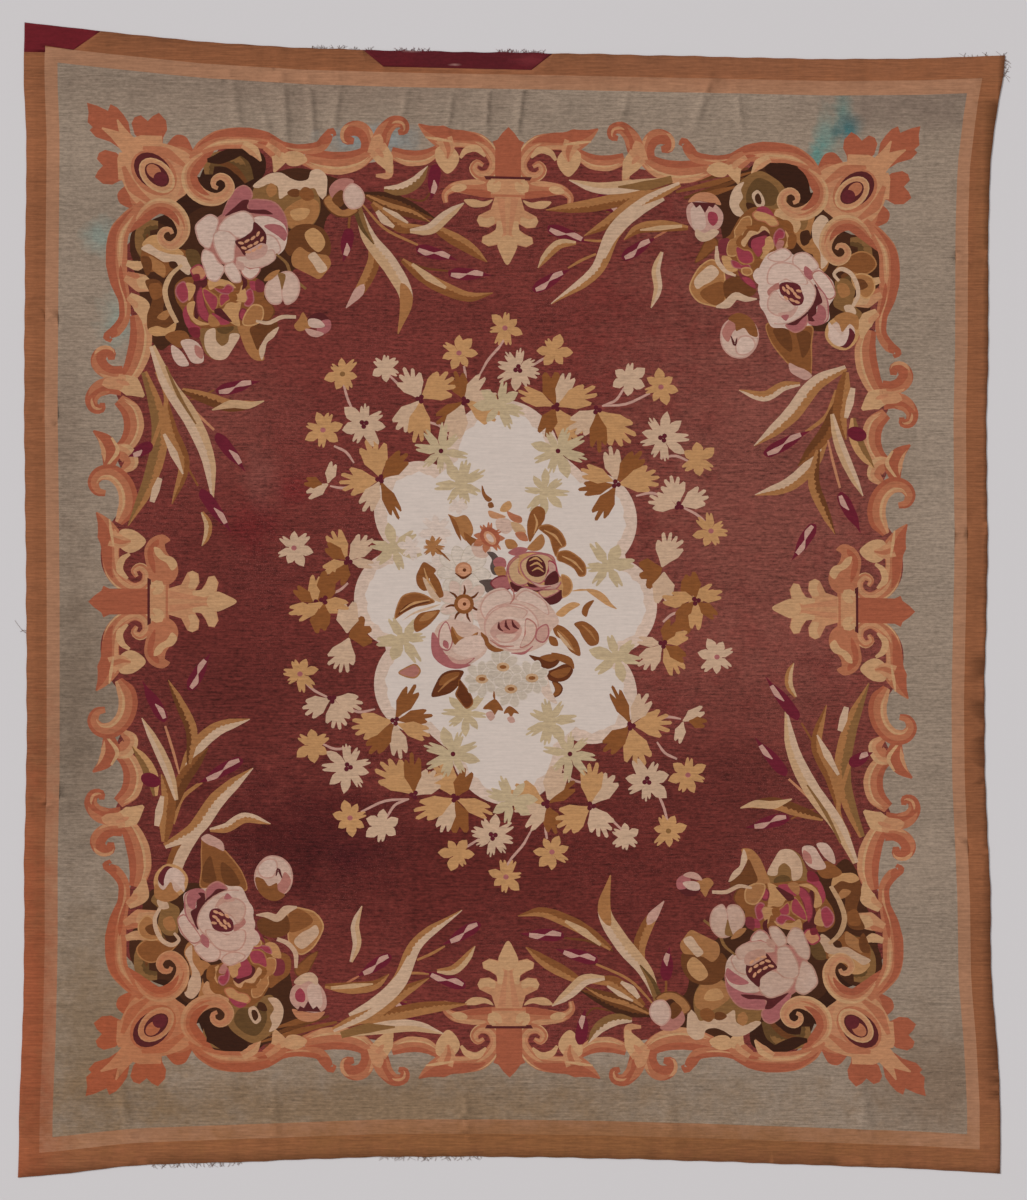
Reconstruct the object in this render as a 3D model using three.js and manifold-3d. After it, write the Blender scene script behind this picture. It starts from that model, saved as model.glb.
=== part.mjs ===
// A large tapestry-woven Aubusson rug, lying face up. It is one flat cloth of wool, a little out of
// square, with bowed sides and hand-woven edges. Two plain pieces of dark red cloth are let into its
// top border: one fills the top left corner, the other a gap near the middle of the top edge.
// Millimetres, +Z up, origin in the middle of the underside, +Y towards the top edge of the design.
import * as THREE from "three";
import Module from "manifold-3d";
import { mergeVertices } from "three/addons/utils/BufferGeometryUtils.js";

const wasm = await Module();
wasm.setup();

// Driving dimensions
const WIDTH = 2962;
const LENGTH = 3466;
const RUG_THICK = 3;
const PATCH_THICK = 2.6;
const JOIN_GAP = 0.3;

// The hand-woven edges also waver a little between the points of the tables below.
const WAVER = 1.6;
const WAVER_LENGTH = 97;
const STEP = 38;
const OVERHANG = 30;

const HALF_W = WIDTH / 2;
const HALF_L = LENGTH / 2;

// Each side runs between two corners. The tables give the points where its bow changes:
// along, the distance from the side's first corner, and inward, the distance in from the box of the rug.
const TOP_EDGE = [
  { along: 20, inward: 0 },
  { along: 250, inward: 26 },
  { along: 550, inward: 57 },
  { along: 850, inward: 76 },
  { along: 1210, inward: 86 },
  { along: 1630, inward: 93 },
  { along: 2050, inward: 102 },
  { along: 2440, inward: 110 },
  { along: 2710, inward: 108 },
  { along: WIDTH, inward: 99 },
];
const RIGHT_EDGE = [
  { along: 99, inward: 0 },
  { along: 150, inward: 4 },
  { along: 250, inward: 22 },
  { along: 430, inward: 44 },
  { along: 620, inward: 50 },
  { along: 980, inward: 51 },
  { along: 1190, inward: 56 },
  { along: 1610, inward: 53 },
  { along: 2030, inward: 62 },
  { along: 2270, inward: 60 },
  { along: 2630, inward: 44 },
  { along: 2870, inward: 41 },
  { along: 3060, inward: 25 },
  { along: 3250, inward: 15 },
  { along: 3454, inward: 15 },
];
const BOTTOM_EDGE = [
  { along: 15, inward: 12 },
  { along: 255, inward: 26 },
  { along: 525, inward: 36 },
  { along: 915, inward: 50 },
  { along: 1215, inward: 58 },
  { along: 1575, inward: 63 },
  { along: 1875, inward: 62 },
  { along: 2295, inward: 47 },
  { along: 2625, inward: 35 },
  { along: 2835, inward: 11 },
  { along: WIDTH, inward: 0 },
];
const LEFT_EDGE = [
  { along: 0, inward: 0 },
  { along: 85, inward: 3 },
  { along: 205, inward: 4 },
  { along: 420, inward: 13 },
  { along: 690, inward: 19 },
  { along: 960, inward: 19 },
  { along: 1200, inward: 25 },
  { along: 1740, inward: 25 },
  { along: 2340, inward: 19 },
  { along: 2790, inward: 22 },
  { along: 3120, inward: 25 },
  { along: 3300, inward: 18 },
  { along: LENGTH, inward: 20 },
];

// The openings for the two inserted pieces, each a ring of points that runs out past the rug's edge.
const CORNER_OPENING = [
  { x: -HALF_W - OVERHANG, y: HALF_L + OVERHANG },
  { x: -1208, y: HALF_L + OVERHANG },
  { x: -1232, y: 1707 },
  { x: -1314, y: 1650 },
  { x: -1399, y: 1663 },
  { x: -1399, y: 1643 },
  { x: -HALF_W - OVERHANG, y: 1645 },
];
const EDGE_OPENING = [
  { x: -482, y: 1683 },
  { x: 160, y: 1676 },
  { x: 126, y: 1641 },
  { x: 60, y: 1590 },
  { x: -384, y: 1600 },
  { x: -446, y: 1651 },
];

const COLOURS = {
  rug: { color: 0x7a3a3a, roughness: 0.95, metalness: 0 },
  corner_patch: { color: 0x5a1620, roughness: 0.95, metalness: 0 },
  edge_patch: { color: 0x5a1620, roughness: 0.95, metalness: 0 },
};

// How far a woven edge stands off its smooth line at a distance along it. It is still at the corners.
function waver(along, length) {
  const calm = Math.sin((Math.PI * along) / length) ** 0.5 || 0;
  const turn = (2 * Math.PI * along) / WAVER_LENGTH;
  return WAVER * calm * (0.6 * Math.sin(turn) + 0.4 * Math.sin(0.37 * turn + 1));
}

// One side as points, from its first corner up to, and without, its last one.
function side(table, place) {
  const knots = table.map((row) => new THREE.Vector3(row.along, row.inward, 0));
  const curve = new THREE.CatmullRomCurve3(knots, false, "centripetal");
  const first = table[0].along;
  const length = table[table.length - 1].along - first;
  const count = Math.round(length / STEP);
  const points = [];
  for (let i = 0; i < count; i++) {
    const knot = curve.getPoint(i / count);
    points.push(place(knot.x, Math.max(knot.y + waver(knot.x - first, length), 0)));
  }
  return points;
}

function rugOutline() {
  return [
    ...side(TOP_EDGE, (along, inward) => new THREE.Vector2(along - HALF_W, HALF_L - inward)),
    ...side(RIGHT_EDGE, (along, inward) => new THREE.Vector2(HALF_W - inward, HALF_L - along)),
    ...side(BOTTOM_EDGE, (along, inward) => new THREE.Vector2(HALF_W - along, inward - HALF_L)),
    ...side(LEFT_EDGE, (along, inward) => new THREE.Vector2(inward - HALF_W, along - HALF_L)),
  ];
}

function slab(points, thick) {
  const shape = new THREE.Shape(points);
  return new THREE.ExtrudeGeometry(shape, { depth: thick, bevelEnabled: false });
}

// A ring of points moved inwards by a distance, with sharp corners. It runs clockwise.
function insetRing(ring, distance) {
  const edges = ring.map((start, i) => {
    const end = ring[(i + 1) % ring.length];
    const way = new THREE.Vector2(end.x - start.x, end.y - start.y).normalize();
    return { start, way, shift: new THREE.Vector2(way.y, -way.x).multiplyScalar(distance) };
  });
  return edges.map((edge, i) => {
    const before = edges[(i + edges.length - 1) % edges.length];
    const a = new THREE.Vector2(before.start.x, before.start.y).add(before.shift);
    const b = new THREE.Vector2(edge.start.x, edge.start.y).add(edge.shift);
    const t = b.clone().sub(a).cross(edge.way) / before.way.cross(edge.way);
    return a.addScaledVector(before.way, t);
  });
}

function toSolid(geometry) {
  const bare = geometry.clone();
  bare.deleteAttribute("normal");
  bare.deleteAttribute("uv");
  const merged = mergeVertices(bare, 1e-4);
  const vertProperties = new Float32Array(merged.attributes.position.array);
  const triVerts = new Uint32Array(merged.index.array);
  return new wasm.Manifold(new wasm.Mesh({ numProp: 3, vertProperties, triVerts }));
}

function toGeometry(solid) {
  const mesh = solid.getMesh();
  const geometry = new THREE.BufferGeometry();
  geometry.setAttribute("position", new THREE.BufferAttribute(mesh.vertProperties, 3));
  geometry.setIndex(new THREE.BufferAttribute(mesh.triVerts, 1));
  geometry.computeVertexNormals();
  return geometry;
}

function piece(name, solid) {
  const mesh = new THREE.Mesh(toGeometry(solid), new THREE.MeshStandardMaterial(COLOURS[name]));
  mesh.name = name;
  return mesh;
}

// An inserted piece fills its opening up to the rug's own edge, with the join's gap all round.
function insert(outline, opening) {
  const fitted = toSolid(slab(insetRing(opening, JOIN_GAP), PATCH_THICK));
  return toSolid(slab(outline, PATCH_THICK)).intersect(fitted);
}

const outline = rugOutline();
const toVectors = (table) => table.map((point) => new THREE.Vector2(point.x, point.y));
const openings = { corner: toVectors(CORNER_OPENING), edge: toVectors(EDGE_OPENING) };

const cloth = toSolid(slab(outline, RUG_THICK))
  .subtract(toSolid(slab(openings.corner, RUG_THICK)))
  .subtract(toSolid(slab(openings.edge, RUG_THICK)));

const rug = new THREE.Group();
rug.add(piece("rug", cloth));
rug.add(piece("corner_patch", insert(outline, openings.corner)));
rug.add(piece("edge_patch", insert(outline, openings.edge)));

export default rug;
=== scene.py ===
import math
import random

import bpy
import numpy as np
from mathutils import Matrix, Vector
from mathutils.geometry import delaunay_2d_cdt


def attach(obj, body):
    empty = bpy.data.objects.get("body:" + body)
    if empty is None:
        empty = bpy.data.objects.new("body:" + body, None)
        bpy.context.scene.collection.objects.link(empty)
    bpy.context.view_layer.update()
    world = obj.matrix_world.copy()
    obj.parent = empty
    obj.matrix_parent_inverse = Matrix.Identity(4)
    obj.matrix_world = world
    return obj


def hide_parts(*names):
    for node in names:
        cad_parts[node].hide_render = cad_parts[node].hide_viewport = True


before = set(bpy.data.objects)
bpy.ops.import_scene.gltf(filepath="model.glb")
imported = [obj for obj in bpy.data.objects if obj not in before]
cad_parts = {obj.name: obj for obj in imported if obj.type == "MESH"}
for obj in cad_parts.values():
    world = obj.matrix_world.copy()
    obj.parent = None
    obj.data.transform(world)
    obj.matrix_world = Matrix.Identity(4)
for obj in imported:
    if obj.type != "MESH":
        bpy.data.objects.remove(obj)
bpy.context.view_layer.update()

# The rug is drawn on a cartoon counted in warps, as a weaver counts it: across from the left and down
# from the top. Everything below is in warps unless its name says metres.
WARP = 0.003
CARTOON_W, CARTOON_H = 1011.0, 1205.0
MID_X, MID_Y = CARTOON_W / 2, CARTOON_H / 2
RUG_MID_X, RUG_MID_Y = 511.5, 600.0

WIDTH, LENGTH = 2.962, 3.466
RUG_THICK = 0.003
PATCH_THICK = 0.0026
JOIN_GAP = 0.0003
WAVER, WAVER_LENGTH, EDGE_STEP = 0.0016, 0.097, 0.019
OVERHANG = 0.03

# On the long sides a corner's arm and the palmette lie nearer to the edge, and the palmette's bar runs out further
ARM_SHIFT, PALMETTE_SHIFT, PALMETTE_BAR = 17, 27, 9

rng = random.Random(7)


def table(columns, *rows):
    """A table with named columns."""
    return [dict(zip(columns.split(), row)) for row in rows]


# Lines and outlines

def smooth(points, closed=False, step=2.4):
    """A rounded line through given points, in steps short enough for the weave."""
    p = np.array(points, float)
    if closed:
        p = np.vstack([p[-1], p, p[0], p[1]])
    else:
        p = np.vstack([2 * p[0] - p[1], p, 2 * p[-1] - p[-2]])
    gap = np.maximum(np.linalg.norm(np.diff(p, axis=0), axis=1), 1e-6)
    out = []
    for i in range(1, len(p) - 2):
        d0, d1, d2 = gap[i - 1], gap[i], gap[i + 1]
        m1 = ((p[i] - p[i - 1]) / d0 * d1 + (p[i + 1] - p[i]) / d1 * d0) / (d0 + d1) * d1
        m2 = ((p[i + 1] - p[i]) / d1 * d2 + (p[i + 2] - p[i + 1]) / d2 * d1) / (d1 + d2) * d1
        count = max(2, round(d1 / step))
        t = (np.arange(count) / count)[:, None]
        out.append((2 * t**3 - 3 * t**2 + 1) * p[i] + (t**3 - 2 * t**2 + t) * m1
                   + (3 * t**2 - 2 * t**3) * p[i + 1] + (t**3 - t**2) * m2)
    if not closed:
        out.append(p[-2][None])
    return np.concatenate(out)


def blob(points, yarn):
    """One rounded area of one yarn."""
    return [(smooth(points, True), yarn)]


def cut(points, yarn):
    """One area of one yarn with sharp corners."""
    return [(np.array(points, float), yarn)]


def oval(x, y, wide, high, yarn, turn=0.0, count=20):
    a = np.linspace(0, 2 * math.pi, count, endpoint=False)
    c, s = math.cos(math.radians(turn)), math.sin(math.radians(turn))
    u, v = wide * np.cos(a), high * np.sin(a)
    return [(np.stack([x + u * c - v * s, y + u * s + v * c], 1), yarn)]


TAPER_RUN, TAPER_CURVE = 0.3, 0.6  # the part of its way over which a strip's end narrows, and how roundly


def ribbon(points, widths, strips):
    """A band that swells and narrows along a line. Its strips are one yarn for the whole band, or rows of
    (right, left, yarn) with the band's own edges at -1 and 1. A row may add where its strip starts and ends,
    as parts of the way, and how deep its hatching is.
    """
    if isinstance(strips, str):
        strips = [(-1, 1, strips)]
    line = smooth(points)
    run = np.concatenate([[0], np.cumsum(np.linalg.norm(np.diff(line, axis=0), axis=1))])
    run /= run[-1]
    half = np.interp(run, np.linspace(0, 1, len(widths)), widths)
    way = np.gradient(line, axis=0)
    way /= np.maximum(np.linalg.norm(way, axis=1, keepdims=True), 1e-6)
    left = np.stack([way[:, 1], -way[:, 0]], 1)
    out = []
    for low, high, yarn, *more in strips:
        start, end, hatch = more + [0.0, 1.0, 0.0][len(more):]
        keep = (run >= start) & (run <= end)
        if keep.sum() < 3:
            continue
        r = (run[keep] - run[keep][0]) / (run[keep][-1] - run[keep][0])
        taper = np.ones(len(r))
        if start > 0:
            taper *= np.clip(r / TAPER_RUN, 0, 1) ** TAPER_CURVE
        if end < 1:
            taper *= np.clip((1 - r) / TAPER_RUN, 0, 1) ** TAPER_CURVE
        middle, spread = (low + high) / 2, (high - low) / 2
        top, bottom = middle + spread * taper, middle - spread * taper
        teeth = hatch * np.array([rng.uniform(0.2, 1.0) * (k % 2) for k in range(len(r))])
        if low > -1:
            bottom = np.minimum(bottom + teeth, top)
        if high < 1:
            top = np.maximum(top - teeth, bottom)
        h = half[keep][:, None]
        a = line[keep] + left[keep] * h * bottom[:, None]
        b = line[keep] + left[keep] * h * top[:, None]
        out.append((np.vstack([a, b[::-1]]), yarn))
    return out


def edged(points, yarn, rim, wide=1.5):
    """A rounded area of one yarn inside a thin edge of another."""
    ring = smooth(points, True)
    middle = ring.mean(axis=0)
    reach = np.linalg.norm(ring - middle, axis=1, keepdims=True)
    return [(ring, rim), (middle + (ring - middle) * np.maximum(1 - wide / reach, 0.3), yarn)]


def edged_areas(rows):
    """Areas laid in order: (yarn, edge yarn if it has one, points)."""
    return joined(*(edged(points, yarn, *rim) if rim else blob(points, yarn) for yarn, *rim, points in rows))


def joined(*parts):
    """The areas of several parts, in the order in which they are laid."""
    return [area for part in parts for area in part]


def each(shapes, place):
    """The same areas, with each outline put in another place."""
    return [(place(outline), yarn) for outline, yarn in shapes]


def moved(shapes, x, y, turn):
    c, s = math.cos(math.radians(turn)), math.sin(math.radians(turn))
    return each(shapes, lambda o: np.stack([x + o[:, 0] * c - o[:, 1] * s, y + o[:, 0] * s + o[:, 1] * c], 1))


def across(shapes):
    return each(shapes, lambda o: np.stack([CARTOON_W - o[:, 0], o[:, 1]], 1))


def down(shapes):
    return each(shapes, lambda o: np.stack([o[:, 0], CARTOON_H - o[:, 1]], 1))


def half_turn(shapes):
    return shapes + each(shapes, lambda o: np.array([CARTOON_W, CARTOON_H]) - o)


def four_fold(shapes):
    both = shapes + across(shapes)
    return both + down(both)


def both_sides(shapes):
    """The areas of a side's middle and their mirror images."""
    return shapes + each(shapes, lambda o: o * np.array([-1.0, 1.0]))


def both_arms(shapes):
    """The areas of a corner and their mirror images over its own diagonal."""
    return shapes + each(shapes, lambda o: np.stack([o[:, 1] - ARM_SHIFT, o[:, 0] + ARM_SHIFT], 1))


def along_top(shapes):
    return each(shapes, lambda o: np.stack([MID_X - o[:, 0], o[:, 1]], 1))


def along_left(shapes, out=0):
    return each(shapes, lambda o: np.stack([o[:, 1] - out, MID_Y - o[:, 0]], 1))


# The scrolled frame

# Strips of the rail, of its tight and open curls, of a long scroll and of a leaf
RAIL = [(-1, 1, "terra"), (0.35, 1, "coral", 0.02, 0.98), (0.3, 0.52, "cream_gold", 0.06, 0.94),
    (-1, -0.35, "terra_dark")]
TIGHT = [(-1, 1, "terra_dark"), (0.1, 1, "terra", 0, 0.7), (0.5, 1, "coral", 0, 0.4), (0.4, 1, "coral", 0.6, 0.95)]
OPEN = [(-1, 1, "terra_dark"), (-1, -0.1, "terra", 0, 0.6), (0.45, 1, "terra", 0.2, 0.8), (-1, 0.4, "coral", 0, 0.35),
    (-0.2, 0.3, "coral", 0.55, 0.95)]
SCROLL = [(-1, 1, "terra"), (-1, -0.1, "terra_dark", 0.05, 1), (0.05, 0.6, "coral", 0.08, 0.5),
    (0.2, 0.42, "cream_gold", 0.12, 0.4), (-0.1, 0.4, "coral", 0.5, 0.8), (0.1, 0.6, "terra_dark", 0.44, 0.7),
    (-1, 1, "terra_dark", 0.86, 1)]
LEAF = [(-1, 1, "cream_gold"), (-1, 1, "coral", 0, 0.3), (-0.2, 0.3, "terra_light", 0, 0.45)]


def top_run():
    """The scrolled rail along one half of a short side, from the corner to the middle: (along, depth)."""
    return joined(
        ribbon([(299, 161), (290, 160), (276, 155), (262, 152)], [2, 6, 6, 2], "hollow"),
        ribbon([(203, 158), (188, 162), (168, 164), (150, 160), (136, 151)], [8, 11, 11.5, 10, 7], RAIL),
        ribbon([(141, 153), (140, 142), (146, 131), (154, 129), (161, 133), (161, 140), (154, 142)],
            [7, 7, 7.5, 8, 7, 6, 3], TIGHT),
        ribbon([(131, 155), (128, 142), (122, 129), (113, 122), (105, 124), (104, 131), (110, 133)],
            [10, 9, 8.5, 7, 6, 5, 2.5], OPEN),
        ribbon([(117, 153), (100, 158), (84, 157), (68, 148)], [6, 8, 7.5, 4.5], RAIL),
        ribbon([(119, 165), (119, 175), (132, 176)], [4.5, 3.5, 1.5], "coral"),
        ribbon([(131, 149), (124, 158), (117, 173)], [10, 8.5, 1.5], LEAF),
        ribbon([(315, 160), (305, 149), (289, 141), (267, 139), (243, 141), (221, 149), (201, 150), (187, 147),
            (181, 139), (176, 132), (173, 137)], [3, 7, 9.5, 10.5, 10.5, 8.5, 5.5, 5, 5.5, 6, 2], SCROLL),
        ribbon([(264, 145), (253, 152), (246, 162)], [4, 5.5, 1], [(-1, 1, "coral"), (-1, 0.1, "cream_gold")]),
        ribbon([(240, 145), (228, 155), (233, 173)], [7, 9.5, 1], [(-1, 1, "terra"), (-1, 1, "cream_gold", 0.35, 1),
            (-0.3, 0.4, "coral", 0, 0.6)]),
        blob([(224, 156), (216, 152), (203, 156), (200, 161), (207, 166), (219, 166)], "cream_gold"))


def left_run():
    """The rail along one half of a long side, from the corner to the middle: (along, depth)."""
    return joined(
        ribbon([(288, 137), (268, 141), (247, 138), (229, 130), (216, 116)], [7, 11, 11.5, 9, 6], RAIL),
        ribbon([(230, 123), (230, 112), (236, 102), (244, 99), (251, 104), (250, 111), (243, 112)],
            [7, 7, 7.5, 8, 7, 6, 3], TIGHT),
        ribbon([(216, 122), (217, 108), (212, 97), (203, 92), (195, 95), (194, 102), (200, 103)],
            [9, 8.5, 8.5, 7, 6, 5, 2.5], OPEN),
        ribbon([(203, 119), (191, 131), (175, 134), (160, 128), (151, 116)], [6, 9.5, 10, 8.5, 5], RAIL),
        ribbon([(222, 117), (217, 130), (206, 144)], [7, 10.5, 1.5], LEAF),
        ribbon([(151, 112), (150, 125), (140, 131), (130, 121)], [5, 9, 7.5, 2], [(-1, 1, "coral"), (-1, 0, "terra"),
            (0.5, 1, "cream_gold", 0.2, 0.8)]),
        ribbon([(134, 109), (151, 111), (163, 105), (172, 94)], [5, 9.5, 7, 1],
            [(-1, 1, "terra_dark"), (0.5, 1, "coral", 0.1, 0.9)]),
        ribbon([(165, 112), (153, 118), (137, 108)], [1, 2.2, 1], "cream_gold"),
        ribbon([(109, 106), (111, 98), (120, 94), (128, 99), (130, 111), (122, 122), (109, 128), (95, 128),
            (79, 119)], [3, 5, 6.5, 8, 8.5, 9, 9.5, 9, 4], [(-1, 1, "terra"), (-1, -0.3, "coral", 0.15, 1),
            (-0.62, -0.35, "cream_gold", 0.25, 0.95), (0.45, 1, "terra_dark")]),
        ribbon([(400, 143), (386, 130), (371, 120), (348, 117), (323, 119), (300, 125), (283, 124), (272, 116),
            (266, 107), (262, 112)], [3, 7, 9.5, 10.5, 10.5, 8.5, 6, 5.5, 6, 2], SCROLL),
        ribbon([(327, 126), (320, 140), (313, 158)], [5, 9.5, 1.5], [(-1, 1, "coral"),
            (-0.6, 1, "cream_gold", 0.3, 1), (0.2, 1, "terra", 0, 0.4)]),
        ribbon([(340, 127), (337, 138), (342, 148)], [3, 5, 1], "cream_gold"),
        ribbon([(307, 129), (297, 141), (279, 145)], [4, 8.5, 1.5],
            [(-1, 1, "cream_gold"), (-1, 0, "coral", 0, 0.5)]))


def palmette(bar):
    """The middle of a side. Its bar runs out a little further on the long sides."""
    half = joined(
        ribbon([(90, 124), (80, 131), (64, 137), (45, 138), (29, 141), (18, 150), (13, 163), (19, 173), (29, 174),
            (35, 167), (31, 161), (25, 164)], [0.8, 6.5, 11.5, 9, 8.5, 8, 7, 6, 5.5, 5, 4, 2], [(-1, 1, "terra"),
            (-1, 0.2, "terra_dark", 0, 0.5), (0.45, 0.9, "coral", 0.15, 0.5), (-0.2, 0.5, "coral", 0.42, 1),
            (-1, -0.7, "cream_gold", 0.42, 0.97), (0.55, 0.85, "terra_light", 0.5, 1)]),
        blob([(72, 148), (62, 145), (53, 149), (49, 157), (52, 166), (61, 173), (68, 167), (73, 157)], "cream_gold"),
        ribbon([(64, 138), (60, 150), (61, 158)], [8, 7, 1.5], [(-1, 1, "coral"), (-0.4, 0.3, "terra")]),
        ribbon([(48, 157), (43, 150), (32, 147), (23, 155)], [1.5, 3.4, 3.6, 1.2], "cream_gold"),
        ribbon([(83, 137), (68, 139), (56, 141)], [0.8, 1.8, 0.8], "cream_gold"))
    if bar:
        half += blob([(58, 192), (61, 197), (67, 191), (64, 179), (54, 172), (38, 173), (26, 177), (17, 180),
            (17, 196), (22, 202), (30, 205), (41, 202), (46, 196), (54, 192)], "terra")
        half += blob([(62, 186), (55, 176), (38, 176), (28, 182), (40, 182), (50, 180), (58, 186)], "terra_dark")
        half += blob([(55, 181), (53, 187), (47, 192), (44, 200), (36, 204), (31, 199), (39, 193), (43, 186),
            (48, 182)], "cream_gold")
    else:
        half += ribbon([(4, 187), (22, 187), (42, 186), (55, 187), (63, 194), (62, 202)], [9, 9.5, 8.5, 6.5, 4, 2.5],
            [(-1, 1, "terra"), (-1, -0.2, "terra_dark", 0, 0.7), (-0.6, 0.2, "coral", 0.55, 1),
            (0.3, 1, "coral", 0.25, 0.8)])
        half += oval(49, 187, 8, 4, "cream_gold", 10)
        half += blob([(15, 198), (24, 200), (34, 198), (44, 199), (38, 205), (28, 206), (19, 203)], "cream_gold")
    mid = joined(
        cut([(-13, 176), (-13, 146 - bar), (-16, 140 - bar), (-11, 138 - bar), (-6, 131 - bar), (0, 125 - bar),
            (6, 131 - bar), (11, 138 - bar), (16, 140 - bar), (13, 146 - bar), (13, 176)], "terra_dark"),
        cut([(-24, 174.5), (24, 174.5), (22, 178), (-22, 178)], "maroon"),
        cut([(-17, 177), (17, 177), (17, 194), (-17, 194)], "coral"),
        cut([(-17, 192.5), (17, 192.5), (17, 196), (-17, 196)], "terra"))
    curl = ribbon([(8, 180), (12, 186), (17, 186), (17, 180), (13, 179)], [1.5, 4, 5, 3, 1], "cream_gold")
    mid += both_sides(curl)
    lobe = cut([(0, 200), (15, 203), (17, 208), (29, 214), (31, 219), (28, 225), (19, 226), (12, 222), (0, 222)],
        "coral")
    lobe += cut([(0, 214), (10, 219), (12, 228), (18, 232), (25, 235), (26, 241), (19, 245), (10, 243), (0, 236)],
        "coral")
    lobe += blob([(14, 215), (22, 217), (29, 215), (30.5, 219), (27, 224), (20, 225), (13, 221)], "cream_gold")
    lobe += blob([(5, 220), (10, 219), (12, 228), (18, 233), (24, 235), (25, 241), (19, 243.5), (11, 242), (5, 233)],
        "cream_gold")
    mid += joined(
        cut([(-13, 195), (13, 195), (17, 208), (12, 222), (-12, 222), (-17, 208)], "coral"), both_sides(lobe),
        ribbon([(0, 196), (0, 214), (0, 234)], [11, 7, 3.5], [(-1, 1, "terra_light"), (-0.3, 0.3, "coral")]),
        blob([(0, 233), (8, 238), (10, 243), (7, 252), (0, 263), (-7, 252), (-10, 243), (-8, 238)], "cream_gold"))
    return both_sides(half) + mid


def corner():
    """The ornament of one corner, drawn for the upper left one."""
    half = joined(
        ribbon([(208, 175), (209, 163), (226, 160), (240, 168), (248, 182)], [4, 7, 8, 9, 5], [(-1, 1, "olive"),
            (-0.2, 1, "olive_gold", 0, 0.8, 0.3), (-1, -0.3, "brown", 0.3, 1)]),
        blob([(162, 154), (168, 143), (177, 135), (185, 137), (190, 145), (193, 156), (180, 162)], "terra_dark"),
        blob([(164, 156), (176, 147), (190, 151), (197, 160), (184, 168), (170, 166)], "terra"),
        cut([(140, 150), (139, 138), (135, 134), (132, 123), (135, 117), (141, 115), (148, 121), (153, 116),
            (159, 113), (166, 121), (167, 130), (163, 138), (162, 150)], "terra_dark"),
        cut([(134, 154), (135, 137), (141, 135), (162, 136), (163, 154)], "coral"),
        cut([(137, 154), (138, 147), (161, 146), (161, 154)], "terra_light"),
        ribbon([(178, 162), (186, 160), (194, 166), (190, 180)], [3, 5, 5, 1], "cream_gold"),
        ribbon([(212, 142), (203, 153), (195, 165), (190, 178)], [6, 8, 8, 5], [(-1, 1, "coral"),
            (0.1, 1, "terra_dark"), (-1, -0.6, "cream_gold", 0.2, 1)]))
    mid = joined(
        cut([(122, 149), (111, 141), (97, 136), (91, 129), (94, 126), (89, 121), (90, 111), (88.5, 101.5),
            (98, 104.5), (109, 110), (111.5, 103.5), (118, 107), (124, 114), (129, 122), (131, 133), (136, 147)],
            "terra_dark"),
        ribbon([(134, 152), (118, 136), (103, 127)], [9, 6, 0.8], "coral"),
        ribbon([(134, 147), (124, 132), (118, 119)], [7, 4.5, 0.8], "coral"),
        blob([(122, 154), (130, 145), (150, 142), (172, 146), (190, 156), (197, 170), (190, 186), (186, 194),
            (178, 200), (168, 208), (152, 208), (138, 204), (127, 190), (121, 172)], "coral"),
        ribbon([(124, 166), (133, 187), (150, 202)], [2, 5, 2], "terra"),
        ribbon([(143, 148), (164, 152), (184, 166)], [2, 5, 2], "terra"),
        ribbon([(168, 160), (180, 172), (184, 186), (178, 196)], [1, 4, 4, 1], "terra_light"),
        oval(154, 173, 26, 19, "terra", 45), oval(153, 171, 21.5, 15.5, "maroon", 45),
        oval(157, 175.5, 21, 14, "cream_gold", 45), oval(156.5, 175, 19, 12.2, "coral", 45),
        oval(157, 175, 14.5, 9, "maroon", 45), oval(154, 171.5, 8.5, 6, "terra", 45),
        oval(160.5, 179, 7.2, 6.6, "ruby", 45))
    return both_arms(half) + mid


def volutes():
    """The two curled scrolls of a corner, which lie over its bouquet."""
    half = ribbon([(203, 155), (194, 164), (189, 174), (190, 184), (196, 193), (206, 199), (216, 200), (224, 196),
        (229, 188), (226, 180), (219, 177), (213, 181), (213, 187), (217, 189)], [3, 5.5, 7.5, 8, 8.5, 8, 7.5, 6.5,
        5.5, 5, 4, 3.5, 3, 1.8], [(-1, 1, "coral"), (0.1, 1, "terra_dark", 0, 0.5), (-0.35, 0.1, "terra", 0, 0.55),
        (-1, -0.6, "cream_gold", 0.1, 0.6), (-0.1, 0.4, "terra_light", 0.5, 1),
        (-1, -0.75, "cream_gold", 0.55, 0.95)])
    return both_arms(half)


def corner_ground():
    """The dark hollows behind one corner's scrolls."""
    half = blob([(184, 204), (196, 207), (216, 210), (236, 203), (252, 188), (264, 172), (262, 156), (246, 150),
        (220, 154), (205, 166), (194, 190)], "hollow")
    return both_arms(half) + blob([(170, 190), (190, 176), (214, 190), (214, 214), (196, 226), (176, 214)], "hollow")


def field_edge():
    """The burgundy ground of one corner, under the rail, from the middle of the top to the middle of the left."""
    return [(0, 440), (-22, 460), (-48, 463), (-62, 453), (-75, 447), (-112, 446), (-128, 441), (-160, 438),
        (-195, 438), (-215, 446), (-240, 458), (-262, 462), (-285, 455), (-300, 430), (-322, 405), (-338, 388),
        (-355, 375), (-378, 358), (-386, 330), (-378, 300), (-368, 262), (-375, 228), (-389, 212), (-380, 190),
        (-376, 165), (-388, 146), (-382, 128), (-379, 100), (-392, 82), (-401, 66), (-401, 30), (-385, 12), (-385, 0)]


def ground():
    quarter = np.array(field_edge(), float)
    ring = [quarter, (quarter * [1, -1])[::-1][1:], (quarter * [-1, -1])[1:], (quarter * [-1, 1])[::-1][1:-1]]
    ring = np.vstack(ring)
    return [(smooth(np.stack([MID_X + ring[:, 0], MID_Y - ring[:, 1]], 1), True, 6), "burgundy")]


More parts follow.
